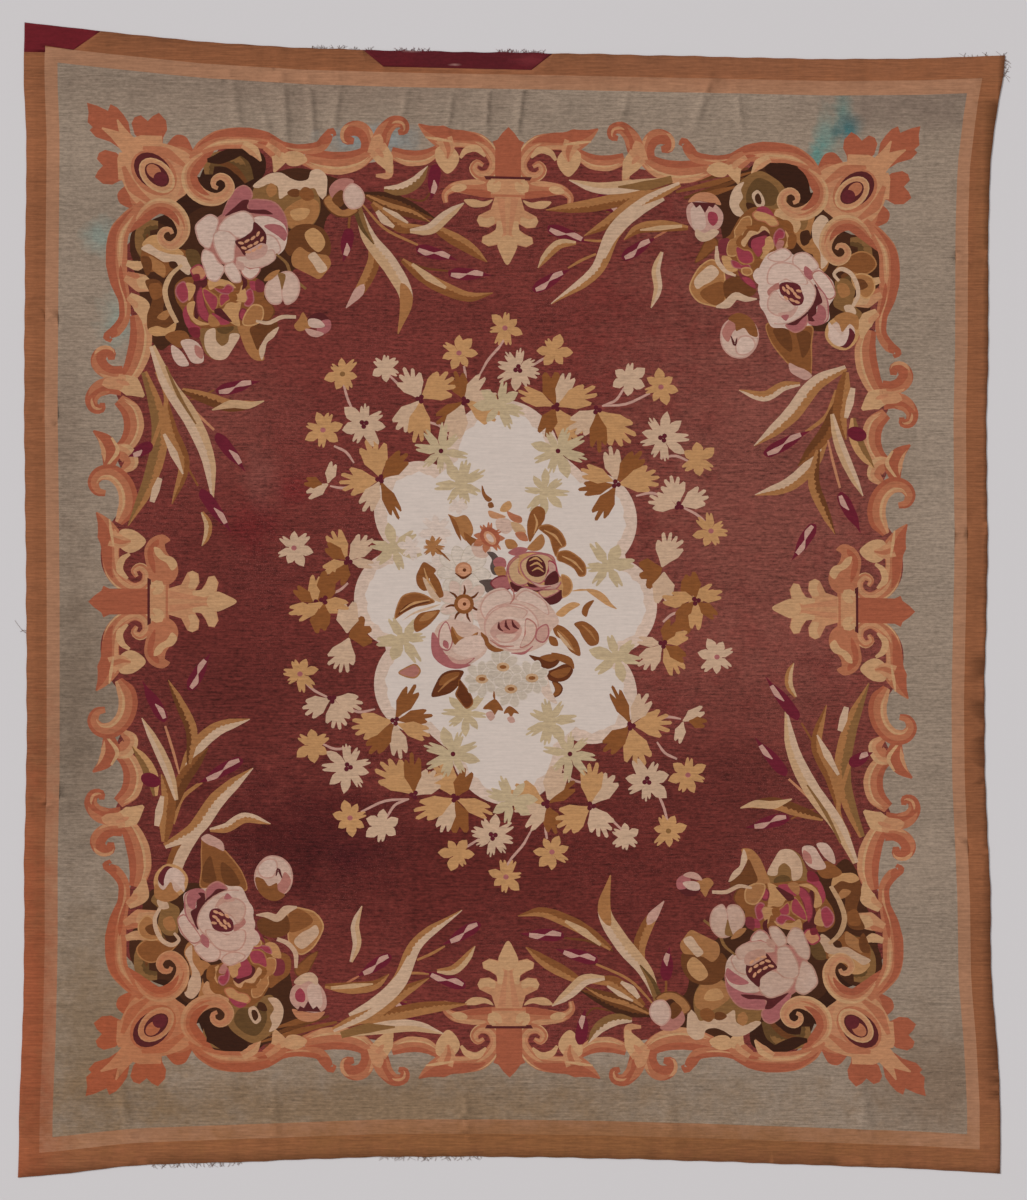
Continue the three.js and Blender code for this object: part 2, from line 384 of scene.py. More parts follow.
def scroll_frame():
    s = four_fold(corner()) + four_fold(along_top(top_run()) + along_left(left_run()))
    short, long = along_top(palmette(0)), along_left(palmette(PALMETTE_BAR), PALMETTE_SHIFT)
    return s + short + down(short) + long + across(long)


# Leaves and flowers of the field

def reed(points, width, side, back, hatch=0.35, tip=None):
    """A long reed leaf: one tone up its left side, another up its right, hatched where they meet."""
    widths = [width * 0.35, width * 0.8, width, width * 0.95, width * 0.7, 0.5]
    s = ribbon(points, widths, [(-1, 1, back), (0, 1, side, 0.0, 1.0, hatch)])
    return s + ribbon(points, widths, [(-1, 1, tip, 0.62, 1)]) if tip else s


def pod(x, y, turn, length, dashes=2):
    """A bulrush head: a plum body with two pale glints, or one towards its tip (1) or its foot (-1)."""
    body = length / 2
    s = blob([(-body, -1), (-0.7 * body, -5), (0, -5.8), (0.6 * body, -4.4), (body, -1.2), (1.3 * body, 0.4),
        (0.9 * body, 1.8), (0.4 * body, 5.2), (-0.4 * body, 6), (-0.9 * body, 3.6)], "plum")
    near = ribbon([(-body * 0.84, 1), (-body * 0.4, 2), (0, 0)], [1.8, 2.9, 0.5], "rose_pale")
    far = ribbon([(0, 0), (body * 0.4, -1.5), (body * 0.84, -0.5)], [0.5, 2.9, 2.1], "rose_pale")
    s += {2: near + far, 1: far, -1: near}[dashes]
    return moved(s, x, y, turn)


def stem(points, yarn, width):
    return ribbon(points, [width * 0.6, width, width, width * 0.8], yarn)


def star(x, y, r, fingers, turn, yarn, eye=None, berries=0):
    """A leaf flower: parted fingers round a small middle."""
    s = oval(x, y, r * 0.27, r * 0.25, yarn, 0, 10)
    slim = 0.44 if yarn == "moss" else 0.54
    for k in range(fingers):
        a = turn + 360 * (k + rng.uniform(-0.14, 0.14)) / fingers
        reach = r * rng.uniform(0.84, 1.12)
        width = reach * 2 * math.sin(math.pi / fingers) * rng.uniform(slim, slim + 0.14)
        s += frond(x, y, a, reach, width, yarn, rng.choice((1, 2, 2, 3)) if r > 20 else rng.choice((1, 1, 2)))
    if eye:
        s += oval(x, y, 2.8, 2.6, eye, 0, 9)
    if berries:
        s += cluster(x, y, berries)
    return s


def frond(x, y, turn, length, width, yarn, teeth=4):
    """A leaf from its foot, parted into pointed lobes round its far end."""
    half, heart = width / 2, 0.42 * length
    spread = (0.0, 0.45, 0.75, 0.95, 1.1, 1.15)[min(teeth, 6) - 1]

    def at(a, f):
        return heart + (length - heart) * f * math.cos(a), half * 1.15 * f * math.sin(a)

    pts = [(0, 0.8), (0, -0.8), (0.2 * length, -0.42 * half), (0.4 * length, -0.86 * half)]
    if teeth == 1:
        pts += [at(-1.1, 0.95), at(-0.6, 0.92), at(rng.uniform(-0.2, 0.2), 1.04), at(0.6, 0.92), at(1.1, 0.95)]
    else:
        gap = 2 * spread / (teeth - 1)
        pts.append(at(-spread - 0.3 * gap, 0.9))
        for k in range(teeth):
            a, grow = -spread + gap * k, rng.uniform(0.94, 1.1)
            pts += [at(a - 0.18 * gap, 0.95 * grow), at(a + 0.08 * gap, grow), at(a + 0.26 * gap, 0.92 * grow)]
            if k < teeth - 1:
                pts.append(at(a + 0.5 * gap, rng.uniform(0.5, 0.68)))
    pts += [(0.4 * length, 0.86 * half), (0.2 * length, 0.42 * half)]
    return moved(cut(pts, yarn), x, y, turn)


BERRY, BERRY_GAP, BERRY_TURN = 2.5, 2.6, 2.1


def cluster(x, y, count):
    """Berries close together, or a single one."""
    s = []
    gap = BERRY_GAP if count > 1 else 0
    for k in range(count):
        a = BERRY_TURN * k + x
        s += oval(x + gap * math.cos(a), y + gap * math.sin(a), BERRY, BERRY, "wine", 0, 8)
    return s


# The roses' petals, each in its own place about the flower's middle: (yarn, edge yarn, points)
LEFT_ROSE = [
    ("rose_mid", [(205, 250), (212, 222), (226, 212), (250, 206), (272, 218), (284, 236), (278, 254), (262, 268),
        (244, 270), (228, 266), (214, 260)]),
    ("mauve", "rose_mid", [(222, 217), (227, 202), (234, 190), (245, 185), (251, 189), (253, 196), (248, 203),
        (236, 208)]),
    ("mauve", "rose_mid", [(247, 201), (262, 199), (275, 202), (284, 212), (288, 226), (286, 238), (280, 238),
        (272, 226), (262, 216), (250, 212)]),
    ("maroon", [(225, 216), (235, 207), (244, 200), (249, 200), (247, 208), (256, 210), (266, 210), (273, 214),
        (258, 214), (240, 212)]),
    ("rose_white", [(254, 218), (262, 216), (276, 219), (285, 226), (287, 233), (282, 252), (276, 256), (268, 246),
        (258, 230)]),
    ("mauve", [(264, 226), (272, 224), (284, 228), (287, 234), (285, 241), (278, 236), (270, 231)]),
    ("rose_white", "rose_pale", [(266, 234), (274, 236), (280, 244), (281, 251), (274, 256), (266, 252)]),
    ("rose_cream", "rose_pale", [(262, 252), (274, 250), (276, 258), (270, 264), (260, 268), (248, 270), (240, 266),
        (236, 258), (248, 256)]),
    ("rose_white", "rose_mid", [(240, 265), (250, 268), (261, 268), (258, 275), (250, 280), (242, 275)]),
    ("rose_pale", [(236, 261), (244, 264), (244, 270), (238, 269)]),
    ("rose_white", "rose_pale", [(210, 214), (218, 218), (217, 230), (213, 241), (209, 249), (201, 245), (196, 235),
        (195, 226), (202, 218)]),
    ("rose_white", "rose_pale", [(204, 249), (212, 252), (219, 262), (225, 268), (222, 276), (216, 282), (209, 280),
        (204, 269), (201, 259)]),
    ("rose_white", "rose_pale", [(224, 266), (231, 261), (237, 266), (241, 275), (241, 282), (234, 283), (228, 278)]),
    ("rose_white", "rose_pale", [(218, 230), (228, 229), (236, 237), (235, 250), (233, 262), (226, 264), (217, 254),
        (213, 242), (214, 233)]),
    ("rose_white", "rose_pale", [(218, 230), (224, 219), (234, 213), (246, 211), (254, 218), (255, 227), (249, 235),
        (243, 239), (236, 238), (228, 232)]),
    ("maroon", [(235, 241), (240, 239), (247, 235), (252, 231), (254, 222), (261, 227), (266, 234), (266, 244),
        (262, 252), (254, 256), (244, 255), (240, 249)]),
    ("rose_pale", [(246, 252), (254, 247), (262, 243), (267, 245), (266, 254), (258, 259), (246, 258)]),
]
LEFT_ROSE_SEEDS = [
    (241, 243, 10), (247, 241, -30), (253, 238, -40), (258, 234, -60), (244, 248, 15), (250, 246, -25),
    (256, 243, -35), (262, 239, -60), (248, 252, 0), (254, 250, -30), (260, 247, -40)]
RIGHT_ROSE = [
    ("rose_white", [(758, 272), (762, 262), (768, 254), (778, 250), (785, 248), (794, 255), (806, 253), (814, 258),
        (819, 268), (826, 274), (833, 282), (834, 298), (829, 306), (829, 320), (818, 325), (806, 326), (796, 332),
        (784, 328), (772, 327), (766, 316), (761, 306), (759, 290)]),
    ("rose_white", [(753, 274), (758, 268), (764, 272), (766, 284), (758, 284)]),
    ("rose_white", [(759, 285), (766, 286), (766, 298), (760, 296)]),
    ("rose_white", [(760, 299), (768, 298), (770, 312), (765, 312), (760, 306)]),
    ("rose_white", "rose_pale", [(767, 258), (773, 252), (785, 248), (792, 254), (786, 261), (774, 262)]),
    ("rose_white", "rose_pale", [(793, 256), (805, 252), (814, 258), (819, 268), (812, 272), (802, 272), (792, 262)]),
    ("mauve", [(805, 266), (811, 270), (814, 276), (811, 280), (804, 274)]),
    ("rose_white", "rose_mid", [(812, 273), (818, 270), (828, 276), (834, 286), (835, 297), (830, 300), (822, 292),
        (816, 284)]),
    ("rose_pale", "mauve", [(816, 286), (822, 290), (828, 300), (829, 312), (828, 320), (820, 325), (810, 322),
        (818, 306)]),
    ("mauve", [(818, 304), (823, 306), (826, 318), (820, 325), (808, 323), (810, 316), (817, 312)]),
    ("maroon", [(815, 284), (820, 294), (822, 303), (817, 306), (816, 314), (812, 317), (815, 321), (809, 321),
        (808, 310), (813, 298)]),
    ("mauve", "rose_mid", [(785, 325), (796, 320), (806, 312), (808, 322), (803, 330), (795, 333)]),
    ("maroon", [(784, 323), (794, 321), (800, 316), (806, 310), (808, 312), (802, 319), (796, 325)]),
    ("rose_white", "rose_pale", [(800, 276), (810, 280), (816, 290), (813, 304), (807, 312), (798, 319), (786, 324),
        (774, 324), (790, 314), (802, 296)]),
    ("rose_white", "rose_pale", [(767, 274), (772, 265), (784, 262), (794, 264), (804, 274), (808, 284), (798, 284),
        (784, 280), (776, 284), (768, 284)]),
    ("rose_mid", [(767, 292), (772, 286), (779, 283), (780, 288), (774, 291), (769, 296)]),
    ("rose_cream", "rose_pale", [(768, 298), (776, 290), (780, 296), (790, 302), (796, 307), (790, 314), (776, 316),
        (768, 310)]),
    ("rose_pale", [(778, 314), (790, 311), (798, 306), (790, 318), (782, 318)]),
    ("mauve", [(781, 316), (789, 315), (786, 321)]),
    ("ruby", [(780, 284), (790, 282), (800, 286), (802, 292), (804, 298), (802, 304), (793, 305), (790, 302),
        (786, 298), (781, 294)]),
]
RIGHT_ROSE_SEEDS = [
    (784, 289, 60), (788, 292, 60), (792, 290, 55), (795, 294, 50), (799, 291, 10), (786, 298, 40), (792, 300, 30),
    (798, 297, 25), (797, 302, 20), (788, 287, 50)]


def open_rose(petals, seeds):
    """An open rose about its own middle, its petals laid one by one."""
    s = edged_areas(petals)
    for x, y, turn in seeds:
        s += moved(oval(0, 0, 3.2, 1.5, "peach", 0, 7), x, y, turn)
    return s


PEONY_LEFT = [
    ("gold_dark", [(176, 284), (184, 278), (206, 279), (236, 282), (250, 276), (262, 282), (263, 302), (257, 312),
        (250, 323), (232, 326), (200, 328), (188, 326), (182, 310), (176, 300)]),
    ("maroon", [(195, 279), (206, 277), (207, 285), (200, 290), (197, 300), (199, 316), (196, 321), (194, 304),
        (193, 290)]),
    ("magenta", "mauve", [(177, 285), (184, 281), (188, 287), (188, 300), (183, 303), (178, 299), (175, 292)]),
    ("straw_gold", [(186, 283), (195, 285), (193, 296), (189, 301), (188, 290)]),
    ("magenta", [(187, 305), (190, 312), (190, 320), (196, 325), (201, 328), (196, 332), (188, 328), (184, 320),
        (183, 311)]),
    ("straw_gold", [(188, 303), (194, 301), (194, 317), (200, 321), (210, 324), (198, 325), (191, 319)]),
    ("plum_red", [(188, 329), (199, 328), (199, 338), (193, 337)]),
    ("magenta", "mauve_dark", [(198, 290), (201, 286), (203, 296), (206, 306), (209, 314), (211, 323), (204, 321),
        (198, 314), (196, 304)]),
    ("magenta", "gold", [(203, 288), (212, 292), (218, 297), (218, 306), (214, 312), (208, 306), (204, 299)]),
    ("magenta", "gold", [(220, 294), (228, 293), (231, 298), (225, 304), (221, 307)]),
    ("straw_gold", [(208, 281), (220, 279), (232, 283), (236, 288), (228, 287), (218, 286), (210, 290)]),
    ("magenta", "mauve", [(214, 288), (222, 289), (228, 284), (234, 288), (232, 293), (222, 294)]),
    ("straw_gold", [(219, 308), (223, 309), (226, 304), (231, 302), (236, 303), (241, 301), (240, 309), (239, 318),
        (240, 326), (230, 322), (226, 314)]),
    ("maroon", [(214, 310), (220, 308), (226, 314), (232, 322), (224, 320), (216, 315)]),
    ("magenta", [(212, 313), (222, 318), (230, 323), (222, 325), (214, 320)]),
    ("gold", [(210, 314), (216, 318), (220, 325), (210, 326), (208, 320)]),
    ("straw_gold", [(232, 292), (238, 294), (242, 285), (246, 291), (246, 302), (240, 302), (233, 299)]),
    ("rust", [(229, 294), (234, 291), (237, 300), (231, 301)]),
    ("maroon", [(240, 276), (245, 277), (247, 286), (242, 290), (243, 282)]),
    ("magenta", "mauve", [(246, 291), (251, 288), (254, 295), (254, 302), (248, 307), (244, 305), (247, 299)]),
    ("magenta", [(250, 281), (258, 283), (258, 290), (252, 290)]),
    ("mauve_dark", [(257, 279), (264, 283), (263, 292), (257, 292)]),
    ("magenta", "mauve_dark", [(242, 308), (246, 309), (246, 318), (242, 321), (239, 318)]),
    ("gold", "straw_gold", [(247, 310), (254, 304), (262, 306), (262, 321), (252, 326), (243, 325)]),
    ("terra_light", "magenta", [(190, 270), (199, 264), (207, 275), (203, 280), (196, 279)]),
    ("plum_red", [(192, 276), (199, 274), (200, 280), (194, 281)]),
]
PEONY_RIGHT = [
    ("gold_dark", [(726, 259), (727, 243), (733, 229), (742, 215), (751, 208), (764, 207), (777, 211), (788, 222),
        (795, 236), (794, 248), (784, 250), (772, 258), (764, 266), (757, 280), (744, 278), (731, 271)]),
    ("mauve_dark", [(720, 240), (728, 238), (727, 256), (720, 254)]),
    ("cream_gold", [(774, 215), (777, 209), (784, 210), (797, 217), (801, 224), (796, 233), (788, 223), (780, 218)]),
    ("gold", "straw_gold", [(728, 256), (727, 246), (730, 240), (734, 238), (734, 230), (738, 224), (742, 218),
        (750, 216), (752, 224), (744, 232), (741, 240), (736, 246), (736, 256)]),
    ("rust", [(746, 227), (758, 225), (764, 223), (771, 226), (760, 230), (750, 231)]),
    ("rust", [(736, 244), (742, 235), (746, 239), (740, 247)]),
    ("straw_gold", "terra", [(752, 214), (756, 210), (766, 212), (776, 218), (779, 225), (772, 227), (764, 222),
        (756, 220)]),
    ("magenta", [(756, 210), (762, 206), (768, 208), (774, 216), (766, 213)]),
    ("maroon", [(748, 246), (750, 238), (757, 234), (764, 230), (770, 236), (760, 240), (752, 249)]),
    ("cream_gold", [(742, 240), (746, 236), (749, 231), (754, 231), (758, 232), (762, 226), (767, 228), (770, 234),
        (765, 230), (758, 234), (752, 236), (748, 241), (744, 247), (741, 244)]),
    ("magenta", [(752, 240), (758, 237), (767, 236), (765, 243), (763, 250), (758, 257), (754, 252), (751, 246)]),
    ("straw_gold", [(765, 239), (770, 236), (773, 240), (774, 248), (769, 252), (767, 259), (760, 258), (763, 253),
        (762, 248), (765, 245)]),
    ("magenta", "mauve", [(775, 232), (780, 228), (785, 232), (784, 238), (778, 240), (776, 247), (773, 240)]),
    ("rose_mid", [(776, 247), (779, 240), (784, 241), (782, 248), (778, 251)]),
    ("straw_gold", [(785, 230), (789, 236), (790, 245), (784, 249), (787, 240)]),
    ("rust", [(780, 221), (787, 220), (793, 226), (793, 233), (786, 230)]),
    ("rust", [(789, 236), (795, 234), (795, 246), (790, 249)]),
    ("magenta", "gold", [(736, 246), (744, 249), (750, 250), (754, 256), (754, 262), (746, 265), (739, 262),
        (736, 256)]),
    ("straw_gold", [(722, 256), (730, 257), (734, 264), (738, 270), (733, 272), (727, 270), (723, 264)]),
    ("magenta", "mauve", [(731, 260), (736, 261), (742, 265), (750, 265), (751, 269), (740, 269), (733, 267)]),
    ("gold", "straw_gold", [(741, 269), (751, 268), (753, 273), (748, 276), (742, 274)]),
    ("mauve_dark", [(738, 270), (742, 274), (750, 278), (755, 284), (756, 289), (748, 285), (741, 279)]),
    ("magenta", [(742, 277), (751, 279), (756, 288), (747, 284)]),
]


def shade_left():
    """The dark ground behind the bouquet of the upper left and lower right corners."""
    return blob([(132, 232), (146, 222), (162, 224), (178, 236), (190, 214), (206, 206), (228, 204), (262, 178),
        (296, 168), (330, 176), (350, 186), (352, 205), (330, 214), (318, 250), (296, 268), (276, 290), (264, 318),
        (250, 334), (220, 334), (196, 336), (176, 340), (160, 350), (150, 338), (148, 316), (140, 296), (136, 270),
        (130, 250)], "dark_brown")


def shade_right():
    """The dark ground behind the bouquet of the upper right and lower left corners."""
    s = blob([(712, 196), (722, 182), (740, 172), (765, 166), (790, 160), (806, 172), (800, 200), (830, 214),
        (842, 232), (860, 236), (880, 250), (882, 280), (872, 296), (868, 318), (858, 326), (836, 330), (812, 330),
        (790, 300), (740, 270), (726, 250), (720, 224)], "dark_brown")
    for foot, tip, yarn in (((748, 168), (668, 184), "brown"), ((752, 172), (676, 192), "gold_dark"),
                            ((744, 178), (684, 198), "brown"), ((738, 186), (696, 196), "gold_dark")):
        s += ribbon([foot, ((foot[0] + tip[0]) / 2, (foot[1] + tip[1]) / 2 + 1), tip], [0.8, 3, 1.2], yarn)
    return s


BOUQUET_LEFT = [
    ("olive_gold", [(252, 202), (254, 188), (264, 180), (276, 174), (288, 180), (296, 186), (306, 182), (316, 190),
        (320, 212), (312, 226), (298, 231), (286, 226), (280, 210)]),
    ("cream_leaf", [(253, 187), (262, 178), (272, 173), (282, 173), (290, 178), (300, 181), (308, 179), (311, 171),
        (318, 169), (326, 175), (327, 188), (324, 200), (319, 196), (314, 188), (306, 190), (298, 190), (288, 194),
        (280, 199), (277, 186), (268, 184), (260, 188)]),
    ("gold", [(284, 212), (292, 204), (306, 198), (318, 202), (319, 214), (310, 226), (298, 231), (287, 224)]),
    ("olive_gold", [(254, 192), (264, 186), (274, 185), (277, 195), (270, 200), (257, 200)]),
    ("gold", [(266, 190), (271, 183), (276, 186), (276, 194), (270, 197)]),
    ("brown", [(287, 193), (292, 189), (299, 190), (299, 196), (290, 196)]),
    ("gold_dark", [(299, 194), (304, 187), (312, 190), (314, 198), (306, 201)]),
    ("straw_gold", [(290, 212), (300, 208), (310, 210), (306, 218), (294, 220)]),
    ("brown", [(286, 236), (296, 226), (310, 224), (322, 228), (330, 240), (329, 256), (318, 262), (306, 258),
        (298, 250), (290, 256), (284, 246)]),
    ("straw_gold", [(305, 233), (313, 228), (321, 233), (325, 245), (319, 252), (310, 246)]),
    ("gold", [(292, 255), (300, 247), (308, 252), (318, 254), (328, 256), (331, 264), (326, 272), (319, 279),
        (310, 275), (300, 270), (293, 266)]),
    ("cream_leaf", [(308, 256), (314, 252), (320, 258), (327, 270), (320, 273), (313, 264)]),
    ("gold_dark", [(141, 262), (143, 248), (152, 240), (160, 238), (170, 246), (184, 250), (194, 254), (198, 262),
        (190, 272), (180, 266), (170, 272), (164, 278), (156, 272), (148, 272)]),
    ("straw_gold", [(142, 245), (150, 236), (162, 236), (165, 244), (178, 248), (184, 254), (168, 254), (156, 250)]),
    ("cream_leaf", [(141, 249), (148, 244), (158, 250), (170, 254), (184, 256), (191, 264), (189, 275), (180, 269),
        (176, 262), (164, 262), (154, 256), (146, 252)]),
    ("gold", [(149, 256), (158, 260), (165, 266), (164, 277), (156, 273), (150, 266)]),
    ("brown", [(142, 256), (149, 257), (152, 268), (147, 276), (143, 268)]),
    ("olive", [(186, 250), (196, 250), (201, 262), (194, 270), (188, 262)]),
    ("dark_brown", [(169, 262), (176, 262), (178, 268), (171, 268)]),
    ("brown", [(146, 280), (158, 280), (166, 292), (164, 312), (176, 318), (172, 324), (160, 330), (150, 332),
        (147, 316), (152, 300)]),
    ("gold_dark", [(150, 284), (160, 284), (162, 296), (154, 300)]),
    ("gold", [(157, 318), (164, 311), (171, 310), (165, 320)]),
    ("straw_gold", [(148, 330), (156, 326), (166, 328), (176, 322), (174, 332), (162, 336), (152, 335)]),
    ("dark_brown", [(170, 288), (178, 290), (184, 306), (178, 316), (172, 306)]),
    ("gold_dark", [(165, 336), (174, 331), (186, 332), (190, 340), (181, 348), (172, 344)]),
    ("olive_gold", [(197, 326), (210, 320), (226, 320), (240, 326), (237, 340), (230, 350), (226, 358), (216, 360),
        (206, 354), (201, 342)]),
    ("cream_leaf", [(208, 330), (214, 328), (217, 342), (222, 346), (228, 342), (230, 334), (239, 334), (232, 350),
        (225, 359), (214, 359), (206, 350)]),
    ("olive", [(216, 325), (228, 321), (234, 328), (226, 334), (218, 332)]),
    ("gold", [(238, 322), (246, 316), (254, 324), (258, 338), (262, 350), (264, 360), (255, 360), (247, 352),
        (242, 340)]),
    ("brown", [(250, 328), (262, 324), (277, 321), (277, 330), (266, 337), (261, 343), (258, 350), (253, 340)]),
    ("cream_leaf", [(262, 343), (268, 334), (279, 327), (274, 337), (267, 343), (265, 352), (262, 360), (259, 350)]),
    ("gold_dark", "brown", [(254, 292), (266, 298), (275, 312), (267, 322), (257, 314), (252, 302)]),
    ("straw_gold", [(252, 308), (257, 302), (261, 312), (257, 322), (252, 318)]),
    ("rose_cream", [(181, 341), (189, 339), (198, 343), (203, 352), (203, 362), (193, 363), (186, 353)]),
    ("rose_cream", [(172, 345), (180, 350), (186, 358), (189, 365), (180, 366), (174, 360)]),
    ("rose_mid", [(195, 345), (203, 350), (202, 359), (196, 355)]),
    ("gold", [(294, 326), (299, 319), (303, 312), (307, 318), (315, 325), (307, 329), (298, 331)]),
    ("maroon", [(307, 320), (313, 314), (322, 313), (330, 321), (320, 322)]),
    ("mauve", [(321, 321), (330, 320), (331, 328), (324, 334), (317, 331)]),
    ("rose_cream", [(308, 320), (320, 320), (325, 326), (316, 328), (309, 326)]),
    ("rose_pale", [(305, 329), (314, 330), (324, 334), (318, 337), (309, 335)]),
    ("gold", "brown", [(323, 199), (330, 194), (336, 204), (344, 211), (352, 208), (359, 210), (350, 217), (338, 217),
        (328, 210)]),
    ("rose_mid", [(329, 190), (335, 181), (344, 178), (354, 181), (350, 188), (341, 193), (332, 198)]),
    ("brown", [(332, 200), (342, 190), (346, 198), (340, 207)]),
    ("rose_cream", "rose_pale", [(344, 190), (352, 183), (361, 188), (365, 197), (361, 207), (350, 209), (344, 202)]),
]
BUD_LEFT = [
    ("rose_cream", "rose_pale", [(270, 279), (278, 274), (284, 280), (284, 296), (280, 304), (271, 304), (265, 296),
        (265, 286)]),
    ("rose_cream", "rose_pale", [(279, 274), (290, 271), (299, 280), (300, 291), (294, 302), (286, 305), (282, 298),
        (281, 284)]),
    ("olive_gold", [(278, 273), (285, 274), (284, 284), (282, 290), (280, 282)]),
    ("gold", [(264, 281), (270, 273), (280, 270), (276, 276), (268, 281)]),
]
BOUQUET_RIGHT = [
    ("hollow", [(765, 168), (790, 164), (806, 176), (807, 200), (800, 203), (796, 190), (782, 186), (770, 180)]),
    ("olive_gold", [(735, 202), (737, 186), (747, 176), (760, 171), (773, 177), (784, 187), (787, 200), (780, 208),
        (766, 211), (752, 217), (742, 219)]),
    ("olive", [(758, 178), (770, 182), (779, 194), (774, 205), (762, 206), (750, 210), (746, 196)]),
    ("cream_leaf", [(737, 185), (744, 182), (741, 190), (743, 197), (739, 205), (745, 216), (737, 216), (730, 207),
        (731, 194)]),
    ("dark_brown", [(746, 203), (756, 206), (754, 212), (748, 210)]),
    ("cream_leaf", [(752, 194), (757, 190), (763, 196), (764, 206), (759, 208), (754, 202)]),
    ("dark_brown", [(755, 196), (758, 193), (761, 198), (761, 204), (758, 204)]),
    ("gold", [(770, 213), (784, 207), (800, 210), (815, 214), (813, 224), (810, 240), (814, 254), (806, 252),
        (798, 244), (790, 232), (780, 222)]),
    ("olive_gold", [(786, 212), (800, 212), (808, 220), (804, 230), (794, 226)]),
    ("dark_brown", [(801, 232), (808, 230), (808, 244), (804, 246)]),
    ("gold", [(812, 238), (820, 236), (824, 250), (829, 262), (824, 272), (816, 262)]),
    ("cream_leaf", [(814, 222), (822, 215), (828, 219), (825, 231), (821, 240), (824, 252), (828, 262), (822, 269),
        (820, 252), (813, 240)]),
    ("brown", [(828, 222), (834, 230), (830, 246), (825, 238)]),
    ("gold_dark", "gold", [(834, 272), (842, 262), (852, 254), (862, 251), (873, 256), (877, 265), (870, 273),
        (858, 275), (846, 271)]),
    ("gold", "straw_gold", [(852, 276), (862, 273), (873, 278), (875, 290), (866, 299), (857, 292)]),
    ("brown", [(856, 279), (864, 280), (868, 286), (860, 290)]),
    ("olive_gold", [(836, 280), (847, 279), (855, 290), (853, 304), (862, 314), (856, 322), (844, 312), (834, 306),
        (835, 292)]),
    ("gold", [(838, 284), (846, 284), (850, 294), (842, 298)]),
    ("cream_leaf", [(844, 306), (852, 305), (856, 314), (849, 315)]),
    ("gold_dark", [(724, 240), (734, 232), (742, 226), (744, 250), (734, 262), (724, 258)]),
    ("gold_dark", "brown", [(695, 263), (700, 250), (706, 240), (715, 237), (719, 244), (712, 252), (704, 259)]),
    ("gold", "straw_gold", [(689, 288), (693, 276), (702, 264), (712, 259), (723, 268), (726, 284), (727, 298),
        (722, 307), (710, 306), (698, 302)]),
    ("cream_leaf", [(694, 283), (702, 271), (712, 265), (719, 272), (712, 281), (704, 285), (697, 289)]),
    ("gold_dark", [(700, 293), (710, 285), (723, 282), (725, 296), (721, 305), (709, 303)]),
    ("brown", [(724, 282), (738, 276), (753, 282), (756, 292), (744, 298), (734, 294), (728, 300)]),
    ("gold_dark", "gold", [(766, 324), (785, 324), (800, 326), (812, 326), (812, 345), (812, 366), (810, 377),
        (801, 374), (790, 366), (778, 353), (770, 341)]),
    ("brown", [(773, 330), (786, 328), (792, 340), (791, 352), (782, 346), (776, 338)]),
    ("brown", [(797, 332), (809, 332), (809, 350), (803, 358), (799, 345)]),
    ("rose_pale", [(789, 363), (798, 367), (806, 370), (812, 376), (806, 380), (798, 377), (790, 371)]),
    ("rose_pale", [(688, 205), (695, 201), (704, 202), (716, 205), (723, 214), (721, 226), (712, 233), (704, 237),
        (694, 230), (687, 218)]),
    ("rose_cream", [(692, 207), (700, 204), (704, 212), (704, 229), (696, 231), (691, 219)]),
    ("magenta", [(709, 212), (716, 213), (718, 220), (713, 226), (708, 220)]),
    ("terra_light", [(688, 202), (694, 195), (705, 192), (716, 196), (721, 205), (712, 203), (700, 201)]),
    ("cream_leaf", [(696, 229), (704, 233), (714, 229), (719, 231), (712, 239), (700, 241), (695, 235)]),
    ("rose_cream", "rose_pale", [(720, 336), (723, 325), (731, 318), (742, 315), (753, 321), (759, 334), (756, 348),
        (745, 358), (732, 357), (723, 349)]),
    ("rose_mid", [(722, 334), (725, 325), (732, 319), (739, 325), (733, 332), (728, 342)]),
    ("gold_dark", [(728, 319), (737, 313), (748, 316), (756, 326), (757, 337), (750, 335), (744, 328), (736, 331),
        (735, 324)]),
    ("rose_white", "rose_pale", [(735, 346), (741, 336), (752, 337), (756, 345), (747, 355), (737, 354)]),
    ("straw_gold", [(825, 336), (829, 322), (840, 316), (852, 318), (859, 328), (857, 341), (846, 350), (833, 347)]),
    ("rose_cream", [(828, 336), (833, 324), (842, 320), (852, 324), (855, 334), (848, 346), (835, 345)]),
    ("ruby", [(840, 346), (846, 338), (850, 328), (855, 334), (852, 343), (846, 348)]),
    ("rose_white", [(829, 322), (835, 329), (842, 335), (847, 322), (849, 334), (842, 346), (834, 344), (830, 336)]),
    ("gold", [(834, 319), (846, 312), (858, 317), (857, 330), (850, 324), (842, 332), (839, 324)]),
]


def bouquet_left():
    """The bouquet of the upper left and lower right corners."""
    s = joined(
        edged_areas(BOUQUET_LEFT), stem([(182, 265), (171, 275), (165, 290), (168, 305), (177, 323)], "straw", 2.6),
        edged_areas(PEONY_LEFT), stem([(256, 321), (268, 323), (282, 317), (296, 317)], "cream_leaf", 2.0),
        open_rose(LEFT_ROSE, LEFT_ROSE_SEEDS),
        stem([(276, 254), (287, 264), (291, 275), (306, 289)], "olive_gold", 1.6))
    return s + edged_areas(BUD_LEFT)


